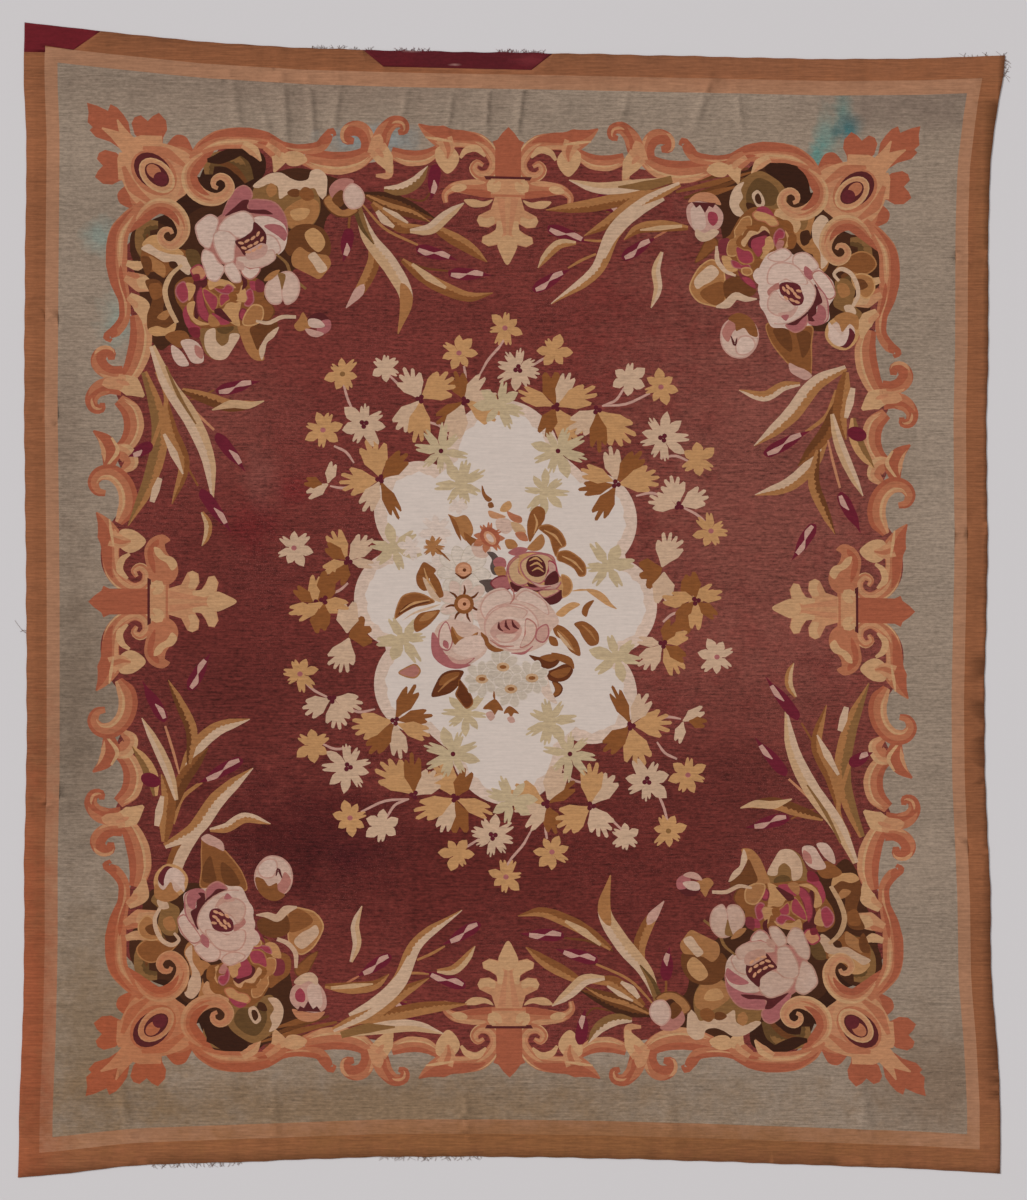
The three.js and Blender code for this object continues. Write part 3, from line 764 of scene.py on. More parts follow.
def reeds_left():
    """The reeds and bulrushes of the upper left and lower right corners."""
    return joined(
        stem([(352, 206), (349, 222), (349, 236)], "gold_dark", 1.2), pod(347, 243, 100, 30, 1),
        stem([(362, 204), (384, 228), (418, 245)], "gold", 1.4), pod(434, 253, 16, 38),
        stem([(400, 258), (424, 268), (448, 271)], "brown", 1.2), pod(467, 274, 2, 38),
        stem([(405, 198), (424, 200), (432, 190)], "brown", 1.0), pod(434, 180, 98, 32, 1),
        reed([(362, 194), (392, 199), (420, 212), (437, 220)], 6, "dark_brown", "brown"),
        reed([(366, 196), (390, 208), (412, 214), (430, 222)], 5, "gold", "brown"),
        reed([(384, 189), (398, 190), (416, 182), (428, 166)], 6.5, "cream_leaf", "olive_gold"),
        reed([(372, 203), (386, 216), (404, 228), (424, 226)], 6.5, "gold", "gold_dark"),
        ribbon([(377, 211), (384, 220), (394, 227)], [2, 4, 1.5], "cream_leaf"),
        ribbon([(383, 208), (396, 215), (408, 223)], [1, 2.6, 1], "cream_leaf"),
        reed([(432, 226), (447, 235), (468, 247), (487, 262)], 6.5, "gold", "gold_dark", 0.25),
        reed([(410, 231), (430, 229), (446, 216), (464, 203)], 6, "cream_leaf", "straw", 0.0),
        reed([(402, 260), (422, 276), (446, 289), (470, 297), (493, 293)], 6.5, "gold", "gold_dark", 0.3),
        ribbon([(412, 264), (428, 277), (446, 288)], [1.5, 4, 1.5], "straw"),
        reed([(370, 236), (374, 258), (364, 284), (346, 308)], 6.5, "gold_dark", "gold", 0.3, "rose_pale"),
        reed([(358, 208), (368, 236), (392, 268), (406, 296), (398, 334)], 8.5, "cream_leaf", "straw", 0.3, "gold"),
        ribbon([(357, 208), (364, 228), (374, 244)], [5, 4, 0.8], [(-1, 1, "olive_gold"), (-1, 0, "olive")]),
        stem([(162, 366), (188, 404), (214, 430)], "terra_light", 1.5), pod(229, 450, 52, 42, 1),
        stem([(170, 420), (186, 464), (198, 486)], "gold_dark", 1.2),
        stem([(190, 400), (205, 395), (214, 390)], "gold_dark", 1.0), pod(235, 387, -14, 40),
        reed([(182, 390), (206, 398), (232, 406), (262, 402)], 6.5, "gold", "brown", 0.4),
        ribbon([(212, 410), (232, 404), (250, 405), (264, 401)], [0.6, 4, 4, 0.6], "straw"),
        reed([(144, 372), (154, 400), (160, 430), (150, 480), (128, 526)], 8.5, "gold", "olive_gold", 0.35),
        ribbon([(160, 478), (155, 492), (152, 502)], [2.5, 4, 2.5], "cream_leaf"),
        reed([(166, 400), (172, 430), (184, 462), (172, 504)], 6, "gold_dark", "gold", 0.3),
        ribbon([(164, 434), (174, 454), (183, 474)], [1.5, 4, 0.8], "cream_leaf"),
        stem([(156, 372), (166, 396), (158, 430), (152, 446)], "gold", 2.2), pod(142, 450, 152, 24, 1),
        reed([(152, 346), (168, 384), (192, 420), (208, 458), (213, 503)], 8.5, "straw", "cream_leaf", 0.2),
        ribbon([(166, 366), (178, 394), (196, 424)], [1, 2, 0.8], "olive_gold"),
        reed([(202, 512), (208, 524), (207, 536), (202, 546)], 4, "gold", "straw", 0.2), pod(214, 508, 54, 46, 1))


def bouquet_right(peony_aside=0):
    """The bouquet of the upper right and lower left corners."""
    s = joined(
        edged_areas(BOUQUET_RIGHT),
        cut([(692, 202), (716, 203), (713, 208), (709, 206), (705, 213), (700, 205), (696, 208)], "maroon"),
        stem([(839, 281), (834, 274), (840, 269), (849, 272), (856, 282), (858, 296), (853, 306)], "cream_leaf", 2.2),
        stem([(717, 246), (718, 262), (726, 271), (736, 275)], "cream_leaf", 2.4),
        ribbon([(716, 307), (727, 304), (736, 296), (746, 299), (757, 299)], [1, 4.5, 4, 3, 0.6], "cream_leaf"),
        ribbon([(731, 336), (735, 345), (737, 338)], [0.5, 1.4, 0.5], "maroon"),
        each(edged_areas(PEONY_RIGHT), lambda o: o + np.array([peony_aside, 0.0])))
    return s + open_rose(RIGHT_ROSE, RIGHT_ROSE_SEEDS)


def reeds_right():
    """The reeds and bulrushes of the upper right and lower left corners."""
    return joined(
        stem([(606, 212), (640, 206), (672, 192)], "gold_dark", 1.2), pod(608, 204, 42, 26, 1), pod(566, 234, 20, 40),
        stem([(584, 240), (600, 241), (612, 240)], "gold", 1.3), pod(637, 249, -32, 36),
        stem([(654, 238), (668, 230)], "terra", 1.2), stem([(568, 268), (582, 260), (596, 254)], "gold", 1.4),
        pod(549, 281, -30, 38), reed([(660, 192), (628, 198), (588, 206), (546, 210)], 7, "gold_dark", "gold", 0.35),
        reed([(664, 180), (632, 186), (598, 188), (569, 180)], 6.5, "cream_leaf", "straw", 0.0),
        ribbon([(672, 179), (650, 185), (618, 187)], [3.5, 5, 0.8], "olive_gold"),
        reed([(668, 188), (634, 204), (606, 224), (584, 236)], 6.5, "gold_dark", "gold", 0.4),
        reed([(576, 243), (560, 244), (548, 254), (538, 268)], 5, "gold", "straw", 0.2),
        reed([(688, 228), (660, 226), (636, 230), (624, 240)], 6, "gold_dark", "gold", 0.3),
        ribbon([(682, 226), (660, 228), (640, 230)], [1.5, 2.6, 0.8], "straw"),
        reed([(662, 252), (656, 270), (658, 288), (651, 308)], 4.5, "cream_leaf", "straw", 0.0),
        reed([(680, 184), (646, 202), (614, 232), (598, 268), (551, 304)], 7.5, "gold", "cream_leaf", 0.25),
        ribbon([(664, 199), (636, 214), (614, 236), (604, 258)], [1.5, 4.5, 4.5, 1.5], "cream_leaf"),
        reed([(846, 368), (818, 382), (790, 416), (772, 432), (754, 446)], 8.5, "gold", "cream_leaf", 0.3),
        reed([(800, 384), (784, 386), (766, 396), (739, 390)], 5.5, "cream_leaf", "gold", 0.3),
        stem([(836, 390), (826, 416), (806, 432)], "gold", 2.0), pod(784, 444, -28, 46),
        reed([(826, 440), (812, 464), (790, 484), (755, 495)], 7.5, "gold", "cream_leaf", 0.25),
        reed([(838, 400), (826, 432), (812, 450), (798, 466)], 7, "gold_dark", "brown", 0.4),
        reed([(818, 450), (814, 484), (824, 510), (835, 534)], 6, "brown", "gold", 0.5),
        reed([(846, 372), (842, 400), (840, 420), (846, 440)], 8, "gold", "gold_dark", 0.3),
        reed([(853, 418), (855, 436), (862, 452), (874, 468)], 6.5, "olive_gold", "straw_gold", 0.2),
        oval(857, 434, 10, 7, "plum", 20),
        reed([(832, 414), (838, 440), (850, 470), (863, 496)], 5.5, "cream_leaf", "straw", 0.0),
        stem([(828, 440), (834, 466), (840, 488)], "terra_light", 1.4), pod(849, 510, 62, 40, -1),
        pod(805, 540, 122, 38), ribbon([(853, 388), (850, 402), (846, 418)], [2.5, 4, 2], "cream_leaf"))


# Leaves of the ring: x, y, turn, length, width, yarn, lobes
FRONDS = [
    (465, 400, 250, 30, 20, "rust", 3), (463, 402, 140, 34, 20, "rust", 3), (466, 401, 20, 38, 30, "straw_gold", 5),
    (463, 404, 110, 40, 26, "cream_leaf", 3), (465, 398, -52, 30, 16, "cream_leaf", 2),
    (466, 399, -10, 30, 14, "cream_leaf", 3), (420, 399, -118, 34, 26, "cream_leaf", 5),
    (419, 401, 128, 38, 24, "cream_leaf", 3), (421, 398, -32, 40, 30, "straw_gold", 5),
    (421, 401, 94, 42, 24, "straw_gold", 4), (556, 405, -100, 34, 26, "rust", 2),
    (557, 405, -68, 36, 18, "cream_leaf", 3), (557, 406, -22, 42, 24, "straw_gold", 4),
    (556, 408, 62, 42, 26, "straw_gold", 4), (555, 408, 115, 30, 20, "rust", 2),
    (554, 406, 203, 40, 18, "straw_gold", 3), (597, 410, 138, 34, 26, "cream_leaf", 4),
    (598, 411, 44, 46, 30, "straw_gold", 5), (597, 413, 86, 38, 20, "rust", 3),
    (380, 477, -104, 40, 28, "straw_gold", 4), (378, 480, 176, 38, 26, "straw_gold", 5),
    (382, 478, -44, 36, 22, "rust", 3), (381, 482, 64, 40, 16, "rust", 3), (379, 482, 118, 32, 20, "cream_leaf", 3),
    (328, 483, -74, 22, 13, "cream_leaf", 2), (328, 484, 150, 24, 15, "cream_leaf", 2),
    (322, 484, 190, 18, 14, "rust", 2), (347, 560, -118, 34, 20, "straw_gold", 3),
    (349, 560, -48, 32, 22, "cream_leaf", 4), (346, 562, 160, 26, 16, "straw_gold", 2),
    (347, 563, 112, 24, 18, "rust", 2), (345, 559, 214, 24, 16, "rust", 2), (350, 561, 10, 24, 12, "cream_leaf", 2),
    (315, 604, -88, 30, 18, "straw_gold", 2), (316, 606, 8, 26, 14, "straw_gold", 2),
    (314, 607, 172, 26, 15, "straw_gold", 2), (315, 608, 74, 26, 20, "rust", 2), (313, 603, 220, 24, 15, "rust", 2),
    (317, 603, -42, 24, 15, "rust", 2), (616, 481, -100, 36, 20, "cream_leaf", 3), (618, 481, -52, 38, 22, "rust", 3),
    (619, 484, -10, 42, 26, "straw_gold", 5), (613, 485, 172, 34, 18, "rust", 3), (615, 487, 120, 38, 20, "rust", 3),
    (613, 481, 200, 34, 18, "straw_gold", 3), (678, 505, -104, 30, 24, "cream_leaf", 5),
    (681, 506, -26, 30, 22, "cream_leaf", 4), (677, 507, 196, 30, 20, "cream_leaf", 4),
    (662, 567, -70, 36, 28, "cream_leaf", 6), (662, 568, 158, 24, 34, "rust", 3),
    (664, 572, 92, 32, 26, "cream_leaf", 2), (687, 604, 190, 26, 14, "straw_gold", 2),
    (689, 603, -34, 30, 15, "straw_gold", 2), (687, 601, -84, 26, 18, "rust", 3), (687, 607, 100, 28, 22, "rust", 2)]


def star_ring():
    """The loose ring of leaf flowers round the middle, one half of it."""
    s = []
    stems = [[(354, 413), (348, 400), (343, 382)], [(405, 391), (396, 382), (388, 374)], [(466, 378), (464, 366)],
        [(479, 376), (488, 360), (500, 346), (506, 336)], [(354, 463), (346, 452), (334, 446)],
        [(602, 406), (616, 400), (624, 388)], [(602, 406), (626, 404), (650, 393)],
        [(711, 528), (696, 514), (684, 508)], [(548, 356), (538, 362), (532, 366)],
        [(690, 462), (676, 456), (660, 458)], [(636, 496), (652, 493), (664, 497)],
        [(330, 486), (344, 488), (352, 486)], [(331, 594), (340, 590), (348, 583)],
        [(430, 440), (424, 424), (420, 414)], [(448, 436), (440, 426), (428, 422)]]
    for line in stems:
        s += stem(line, "rose_pale", 1.3)
    for row in FRONDS:
        s += frond(*row)
    flowers = [(342.5, 374, 17, 7, 10, "straw_gold", "olive_gold", 0), (385, 368, 15, 6, 30, "cream_leaf", None, 0),
        (459, 353, 17, 7, 5, "straw_gold", "mauve", 0), (505, 328, 17, 7, 20, "straw_gold", "mauve", 0),
        (364, 424, 24, 7, 14, "cream_leaf", None, 3), (323, 430, 19, 7, -10, "straw_gold", "mauve", 0),
        (518, 369, 22, 8, 10, "cream_leaf", None, 3), (554, 351, 17, 6, 0, "straw_gold", None, 0),
        (628, 379, 18, 6, 30, "cream_leaf", None, 0), (661, 387, 17, 7, 12, "straw_gold", "mauve", 0),
        (663, 438, 25, 9, 0, "cream_leaf", None, 3), (698, 460, 18, 6, 28, "straw_gold", None, 0),
        (711, 531, 18, 7, 12, "straw_gold", "mauve", 0), (294, 548, 19, 7, 8, "cream_leaf", "mauve", 0),
        (441, 451, 26, 8, 5, "moss", None, 1), (461, 484, 25, 7, 24, "moss", None, 0),
        (394, 548, 26, 6, 15, "moss", None, 0), (558, 451, 27, 8, 18, "moss", None, 1),
        (545, 492, 23, 8, 2, "moss", None, 0), (608, 566, 26, 6, 0, "moss", None, 0),
        (500, 405, 24, 7, 20, "moss", None, 0)]
    for x, y, r, fingers, turn, yarn, eye, berries in flowers:
        s += star(x, y, r, fingers, turn, yarn, eye, berries)
    for x, y in ((420, 399), (465, 401), (556, 407), (597, 410), (380, 479), (348, 561), (315, 604), (616, 484),
                 (679, 506), (687, 605)):
        s += cluster(x, y, 3)
    return s


# The pale middle: its oval, the lobes on one half of it, and the width of the darker rim of each
MIDDLE_WIDE, MIDDLE_HIGH, MIDDLE_RIM, LOBE_RIM, LOBE_WAVE = 125, 165, 9, 12, 0.05
LOBES = [(503, 462, 58, 62), (590, 521, 47, 50), (611, 606, 46, 49), (592, 695, 45, 49)]


def medallion():
    """The pale middle of the field, scalloped by its lobes."""
    s = oval(MID_X, MID_Y, MIDDLE_WIDE, MIDDLE_HIGH, "blush", 0, 60)
    for x, y, wide, high in LOBES:
        s += half_turn(oval(x, y, wide, high, "blush", 0, 52))
    inner = oval(MID_X, MID_Y, MIDDLE_WIDE - MIDDLE_RIM, MIDDLE_HIGH - MIDDLE_RIM, "ivory", 0, 60)
    for x, y, wide, high in LOBES:
        for o, yarn in half_turn(oval(x, y, wide - LOBE_RIM, high - LOBE_RIM, "ivory", 0, 52)):
            mid = o.mean(axis=0)
            wave = np.array([1 + LOBE_WAVE * math.sin(9 * k / 8.3) * (k % 2) for k in range(len(o))])[:, None]
            inner.append((mid + (o - mid) * wave, yarn))
    return s + inner


MIDDLE_LEAVES = [
    ("rust", [(424, 562), (419, 569), (416, 578), (418, 586), (424, 591), (431, 588), (429, 579), (436, 570),
        (430, 565)]),
    ("rust", [(430, 570), (437, 577), (442, 588), (443, 597), (438, 598), (433, 590), (430, 581)]),
    ("cream_leaf", [(423, 577), (430, 583), (435, 592), (441, 602), (434, 600), (427, 590)]),
    ("rust", "gold", [(435, 602), (426, 595), (413, 592), (402, 596), (397, 605), (395, 619), (404, 613), (416, 607),
        (427, 605)]),
    ("rust_dark", [(430, 602), (418, 601), (406, 605), (398, 615), (408, 610), (420, 605)]),
    ("cream_leaf", [(441, 604), (428, 607), (414, 612), (402, 621), (414, 614), (428, 610)]),
    ("rust", [(440, 610), (430, 611), (419, 614), (414, 621), (416, 632), (425, 628), (434, 620)]),
    ("gold", [(437, 612), (426, 613), (419, 621), (428, 620)]),
    ("gold", [(448, 514), (456, 517), (465, 515), (471, 522), (473, 533), (466, 541), (460, 534), (455, 524)]),
    ("rust", [(449, 515), (455, 520), (459, 529), (461, 541), (456, 533), (452, 523)]),
    ("rust", [(464, 532), (470, 536), (478, 541), (474, 547), (467, 542)]),
    ("straw_gold", [(500, 511), (503, 504), (510, 501), (512, 506), (506, 512)]),
    ("rust", [(482, 485), (486, 494), (492, 500), (489, 502), (482, 494)]),
    ("gold_dark", [(488, 503), (492, 502), (494, 507), (489, 508)]),
    ("coral", [(488, 511), (498, 513), (506, 517), (497, 519), (490, 517)]),
    ("terra", [(507, 511), (514, 514), (522, 518), (522, 522), (511, 520)]),
    ("rose_cream", [(496, 520), (508, 519), (514, 526), (507, 534), (497, 529)]),
    ("straw", [(511, 522), (522, 525), (526, 533), (516, 533)]),
    ("terra", [(515, 533), (524, 532), (528, 541), (520, 540)]),
    ("rose_cream", [(472, 544), (482, 542), (491, 548), (487, 557), (475, 556)]),
    ("gold", [(505, 540), (514, 540), (518, 546), (508, 549)]),
    ("rust", [(530, 542), (527, 530), (528, 519), (532, 510), (538, 506), (544, 509), (545, 518), (540, 527),
        (535, 534)]),
    ("rust", "gold", [(538, 527), (547, 524), (557, 528), (564, 536), (566, 546), (560, 549), (556, 557), (552, 548),
        (549, 538)]),
    ("gold_dark", [(552, 529), (560, 534), (565, 545), (560, 547), (556, 540)]),
    ("rust", "gold", [(557, 553), (566, 550), (577, 555), (586, 566), (585, 576), (580, 577), (574, 569), (564, 563),
        (557, 560)]),
    ("gold", [(527, 549), (534, 540), (542, 534), (545, 542), (540, 550)]),
    ("slate", [(487, 552), (493, 552), (500, 560), (501, 574), (494, 575), (490, 566), (492, 560)]),
    ("slate", [(479, 582), (497, 581), (492, 593), (486, 592), (484, 586)]),
    ("mauve", [(493, 561), (498, 557), (505, 559), (506, 567), (498, 569)]),
    ("gold", [(494, 568), (504, 567), (506, 575), (498, 576)]),
    ("mauve", "mauve_dark", [(490, 583), (498, 576), (508, 576), (514, 584), (508, 590), (496, 590)]),
    ("mauve", [(508, 553), (518, 547), (528, 549), (518, 556)]),
    ("rust", [(553, 624), (562, 626), (572, 634), (579, 645), (580, 656), (571, 652), (566, 646), (562, 640),
        (556, 636)]),
    ("straw", [(557, 631), (566, 640), (574, 651), (565, 645)]),
    ("rust", [(549, 636), (556, 638), (558, 646), (551, 645)]),
    ("rust", "gold_dark", [(574, 624), (582, 621), (591, 625), (599, 636), (598, 644), (591, 646), (583, 638),
        (579, 630)]),
    ("rust_dark", [(529, 655), (540, 657), (551, 654), (561, 656), (557, 665), (546, 669), (537, 663)]),
    ("rust", [(540, 657), (550, 654), (560, 656), (552, 662)]),
    ("rust", [(551, 653), (562, 654), (572, 659), (574, 669), (566, 664), (558, 660)]),
    ("rust_dark", [(545, 674), (556, 668), (566, 664), (573, 669), (568, 679), (558, 682), (549, 680)]),
    ("rust", [(550, 674), (560, 669), (571, 668), (567, 675), (556, 678)]),
    ("rust", "rust_dark", [(552, 681), (558, 682), (563, 688), (560, 695), (551, 698), (555, 690)]),
    ("rust_dark", [(464, 672), (452, 670), (442, 674), (436, 683), (432, 697), (441, 696), (452, 692), (458, 686),
        (461, 678)]),
    ("rust", [(460, 673), (450, 673), (441, 678), (439, 685), (450, 682), (457, 678)]),
    ("rust_dark", "rust", [(459, 679), (466, 687), (471, 694), (473, 704), (467, 709), (460, 702), (455, 694),
        (458, 687)]),
    ("rust", [(594, 600), (588, 602), (583, 607), (582, 614), (586, 617), (589, 609)]),
    ("straw_gold", [(556, 615), (564, 606), (574, 602), (580, 604), (570, 611), (562, 617)]),
    ("straw_gold", [(586, 589), (597, 590), (606, 596), (611, 603), (617, 609), (606, 605), (599, 600)]),
    ("rust", [(480, 634), (488, 640), (496, 646), (505, 650), (494, 652), (485, 646)]),
    ("blush", [(540, 668), (547, 676), (551, 690), (557, 704), (548, 700), (539, 686)]),
    ("rose_mid", "gold", [(398, 673), (406, 667), (416, 664), (421, 671), (416, 678), (405, 677)]),
    ("rust", [(483, 709), (489, 702), (495, 699), (500, 704), (503, 711), (498, 710), (495, 715), (491, 710)]),
    ("rose_pale", [(486, 713), (491, 711), (495, 717), (491, 721)]),
    ("rust", [(504, 714), (509, 706), (515, 709), (519, 714), (514, 713), (511, 719), (508, 713)]),
    ("rose_pale", [(507, 718), (512, 716), (515, 722), (510, 723)]),
]
MIDDLE_ROSES = [
    ("straw_gold", "mauve", [(506, 573), (508, 563), (515, 556), (525, 552), (540, 552), (554, 557), (557, 567),
        (560, 576), (567, 582), (567, 592), (562, 599), (554, 604), (544, 602), (536, 595), (526, 590), (513, 592),
        (508, 584)]),
    ("maroon", [(510, 582), (520, 585), (532, 588), (536, 594), (524, 591), (514, 591)]),
    ("straw", "mauve", [(508, 567), (513, 560), (519, 556), (518, 566), (521, 575), (529, 583), (520, 586),
        (511, 581)]),
    ("straw", "mauve", [(520, 563), (528, 556), (540, 553), (551, 557), (555, 563), (549, 570), (547, 578),
        (540, 584), (529, 581), (522, 573)]),
    ("maroon", [(526, 566), (529, 558), (537, 556), (543, 560), (546, 568), (545, 574), (538, 577), (530, 575)]),
    ("rose_pale", "magenta", [(549, 560), (556, 564), (557, 571), (550, 579), (544, 582), (548, 570)]),
    ("maroon", [(545, 580), (556, 571), (559, 580), (554, 587), (545, 587)]),
    ("maroon", [(527, 583), (538, 586), (546, 588), (541, 592), (531, 589)]),
    ("rose_pale", "mauve", [(530, 581), (541, 585), (556, 584), (562, 581), (557, 589), (544, 590)]),
    ("maroon", [(540, 598), (552, 594), (562, 590), (561, 600), (550, 605), (542, 603)]),
    ("straw", "mauve", [(538, 592), (548, 589), (560, 590), (552, 596), (543, 598)]),
    ("gold", "straw_gold", [(562, 574), (569, 577), (573, 587), (569, 595), (563, 598), (562, 588)]),
    ("rose_cream", [(477, 612), (482, 598), (492, 590), (504, 588), (513, 595), (522, 588), (534, 591), (545, 600),
        (555, 612), (559, 622), (551, 631), (547, 642), (537, 649), (522, 653), (506, 651), (492, 645), (483, 634)]),
    ("rose_white", "rose_pale", [(480, 610), (484, 598), (496, 590), (508, 590), (513, 600), (504, 604), (492, 610),
        (486, 620)]),
    ("rose_white", "rose_pale", [(515, 599), (524, 590), (536, 594), (547, 604), (549, 615), (538, 609), (526, 603)]),
    ("rose_white", "rose_pale", [(484, 622), (490, 610), (504, 604), (520, 604), (532, 611), (539, 624), (535, 638),
        (526, 648), (508, 650), (494, 642), (486, 634)]),
    ("rose_cream", "rose_pale", [(488, 640), (484, 626), (490, 613), (502, 606), (516, 606), (528, 612), (524, 618),
        (510, 616), (498, 622), (492, 632)]),
    ("rose_pale", [(490, 632), (496, 623), (506, 619), (517, 621), (522, 630), (518, 639), (506, 643), (495, 640)]),
    ("rose_mid", [(497, 627), (504, 620), (514, 620), (520, 626), (516, 632), (505, 633)]),
    ("rose_cream", [(496, 636), (506, 634), (516, 635), (510, 641), (500, 641)]),
    ("rose_cream", "rose_mid", [(527, 618), (536, 624), (536, 636), (529, 645), (520, 648), (524, 636)]),
    ("rose_pale", "mauve", [(537, 629), (547, 624), (549, 636), (543, 643), (536, 640)]),
    ("rose_cream", [(433, 637), (440, 623), (450, 619), (464, 622), (478, 627), (487, 640), (486, 652), (476, 661),
        (462, 667), (446, 665), (435, 653)]),
    ("mauve", [(431, 646), (433, 632), (439, 640), (444, 652), (456, 662), (471, 665), (458, 669), (442, 665),
        (433, 656)]),
    ("rose_white", "mauve", [(438, 640), (440, 628), (446, 621), (451, 630), (453, 642), (448, 651), (440, 648)]),
    ("gold", "rust", [(452, 626), (457, 634), (468, 638), (478, 632), (474, 642), (464, 648), (455, 645),
        (451, 636)]),
    ("rust", [(452, 627), (456, 636), (462, 643), (470, 641), (462, 647), (454, 643)]),
    ("rust", [(481, 632), (488, 638), (490, 646), (498, 648), (504, 650), (494, 652), (486, 646)]),
    ("rose_white", [(459, 641), (470, 636), (481, 636), (485, 648), (476, 656), (462, 656), (453, 650)]),
    ("rose_pale", "mauve", [(446, 655), (458, 660), (475, 658), (466, 665), (452, 663)]),
    ("mauve", [(444, 640), (448, 642), (448, 649), (443, 646)]),
]
# Fold lines of the middle flowers: yarn, width, line
FOLDS = [
    ("straw_gold", 1.3, [(529, 561), (536, 558), (542, 562)]),
    ("straw_gold", 1.3, [(530, 566), (537, 563), (543, 568)]),
    ("straw_gold", 1.2, [(532, 571), (538, 568), (544, 572)]), ("maroon", 1.6, [(499, 622), (499, 628), (503, 631)]),
    ("maroon", 1.6, [(506, 620), (506, 626), (510, 630)]), ("maroon", 1.6, [(512, 620), (514, 626), (519, 629)]),
    ("straw_gold", 1.3, [(400, 612), (412, 604), (430, 600)]),
    ("straw_gold", 1.2, [(424, 568), (427, 578), (436, 592)]),
    ("straw_gold", 1.2, [(534, 514), (537, 522), (534, 534)]),
    ("straw_gold", 1.3, [(544, 530), (555, 536), (562, 546)]),
    ("straw_gold", 1.2, [(562, 556), (574, 562), (583, 572)]), ("gold", 1.2, [(558, 630), (566, 638), (575, 652)]),
    ("gold", 1.2, [(582, 625), (590, 632), (596, 641)]), ("gold", 1.2, [(438, 692), (448, 682), (458, 676)]),
    ("mauve", 1.5, [(521, 586), (536, 589), (551, 586)]), ("rose_mid", 1.2, [(490, 640), (500, 646), (514, 646)]),
    ("rose_mid", 1.0, [(513, 589), (514, 598), (510, 604)]), ("mauve", 1.5, [(511, 653), (524, 653), (533, 646)]),
    ("rust_dark", 1.4, [(455, 573), (463, 578), (472, 573)]), ("rust", 1.2, [(436, 548), (444, 555), (450, 561)]),
    ("straw_gold", 1.2, [(572, 591), (580, 590), (590, 590)]), ("rust", 1.3, [(494, 691), (494, 696), (495, 701)])]


def daisy(x, y, r, petals, yarn, edge, turn=0):
    """Petals with a pale line round each."""
    s = []
    for k in range(petals):
        a = turn + 360 * k / petals
        long, wide = r * rng.uniform(0.92, 1.08), 1.5 * r * math.sin(math.pi / petals)
        s += moved(edged([(0, -0.3), (0.5 * long, -wide / 2), (0.9 * long, -0.3 * wide), (long, 0),
            (0.9 * long, 0.3 * wide), (0.5 * long, wide / 2), (0, 0.3)], yarn, edge, 1.0), x, y, a)
    return s


def middle_bouquet():
    s = []
    for x, y, r, fingers in ((437, 530, 18, 7), (411, 548, 13, 6), (437, 567, 14, 6), (458, 506, 10, 5)):
        s += star(x, y, r, fingers, 12, "blush_light")
    s += joined(
        daisy(463, 570, 27, 9, "frost_light", "frost", 12), daisy(464, 603, 26, 9, "rose_white", "frost", 0),
        edged_areas(MIDDLE_LEAVES), star(433, 547, 11, 8, 0, "gold"), star(489, 537, 16, 8, 10, "terra"),
        oval(490, 537, 11, 9, "terra_dark", 40), oval(490, 538, 8, 5, "peach", 50, 12),
        oval(490, 538, 5.5, 2.8, "rose_white", 50, 10))
    for k in range(7):
        s += moved(ribbon([(9, 0), (13, 1), (19, 0)], [1.3, 1.1, 0.4], "rust_dark"), 464, 604, 50 * k + 20)
    s += oval(464, 604, 10, 10, "rust", 0, 16) + oval(463.5, 570, 8.5, 8, "terra_light", 0, 16)
    for y in (570, 604):
        s += oval(464, y, 6.4, 6.2, "peach", 0, 14) + oval(464.5, y, 1.9, 1.9, "rust_dark", 0, 7)
    for x, y, r, turn in ((482, 679, 19, 0), (532, 678, 18, 20), (503, 667, 19, 10), (511, 689, 19, 30)):
        s += daisy(x, y, r, 8, "frost", "frost_light", turn)
        s += oval(x, y, 6.5, 4.6, "straw", 0, 12) + oval(x, y, 3.6, 2, "rust", 0, 9)
    s += edged_areas(MIDDLE_ROSES)
    for yarn, wide, line in FOLDS:
        s += ribbon(line, [0.4, wide, 0.4], yarn)
    return s


# Yarns: the colour of each as dyed, 0 to 255

YARNS = {
    "tan": (133, 82, 53), "tan_pale": (154, 110, 83), "sage": (138, 120, 104), "burgundy": (105, 45, 39),
    "terra_dark": (148, 79, 55), "terra": (160, 97, 68), "terra_light": (170, 114, 82), "coral": (173, 122, 87),
    "cream_gold": (178, 136, 98), "maroon": (78, 29, 29), "ruby": (88, 31, 35), "wine": (84, 24, 33),
    "hollow": (50, 24, 12), "dark_brown": (63, 33, 17), "brown": (97, 55, 27), "rust": (124, 73, 36),
    "rust_dark": (90, 44, 20), "gold_dark": (121, 72, 37), "gold": (150, 100, 59), "straw_gold": (174, 128, 84),
    "straw": (176, 139, 104), "cream_leaf": (182, 150, 124), "olive": (90, 62, 33), "olive_gold": (121, 84, 48),
    "moss": (174, 151, 119), "rose_cream": (183, 152, 136), "rose_pale": (174, 133, 119), "rose_mid": (157, 101, 90),
    "rose_white": (189, 161, 146), "mauve": (150, 86, 85), "mauve_dark": (109, 42, 47), "magenta": (139, 53, 64),
    "plum_red": (108, 34, 42), "plum": (97, 24, 39), "peach": (184, 130, 98), "ivory": (196, 180, 170),
    "blush": (190, 164, 147), "blush_light": (193, 172, 159), "frost": (178, 161, 145),
    "frost_light": (191, 174, 160), "slate": (82, 66, 60)}
PATCH_RED, BARE_WARP, PATCH_THREAD = (100, 25, 32), (112, 82, 68), (120, 70, 72)


# The uneven weave: how far each corner and the middle of each side is pulled off the cartoon (warps)

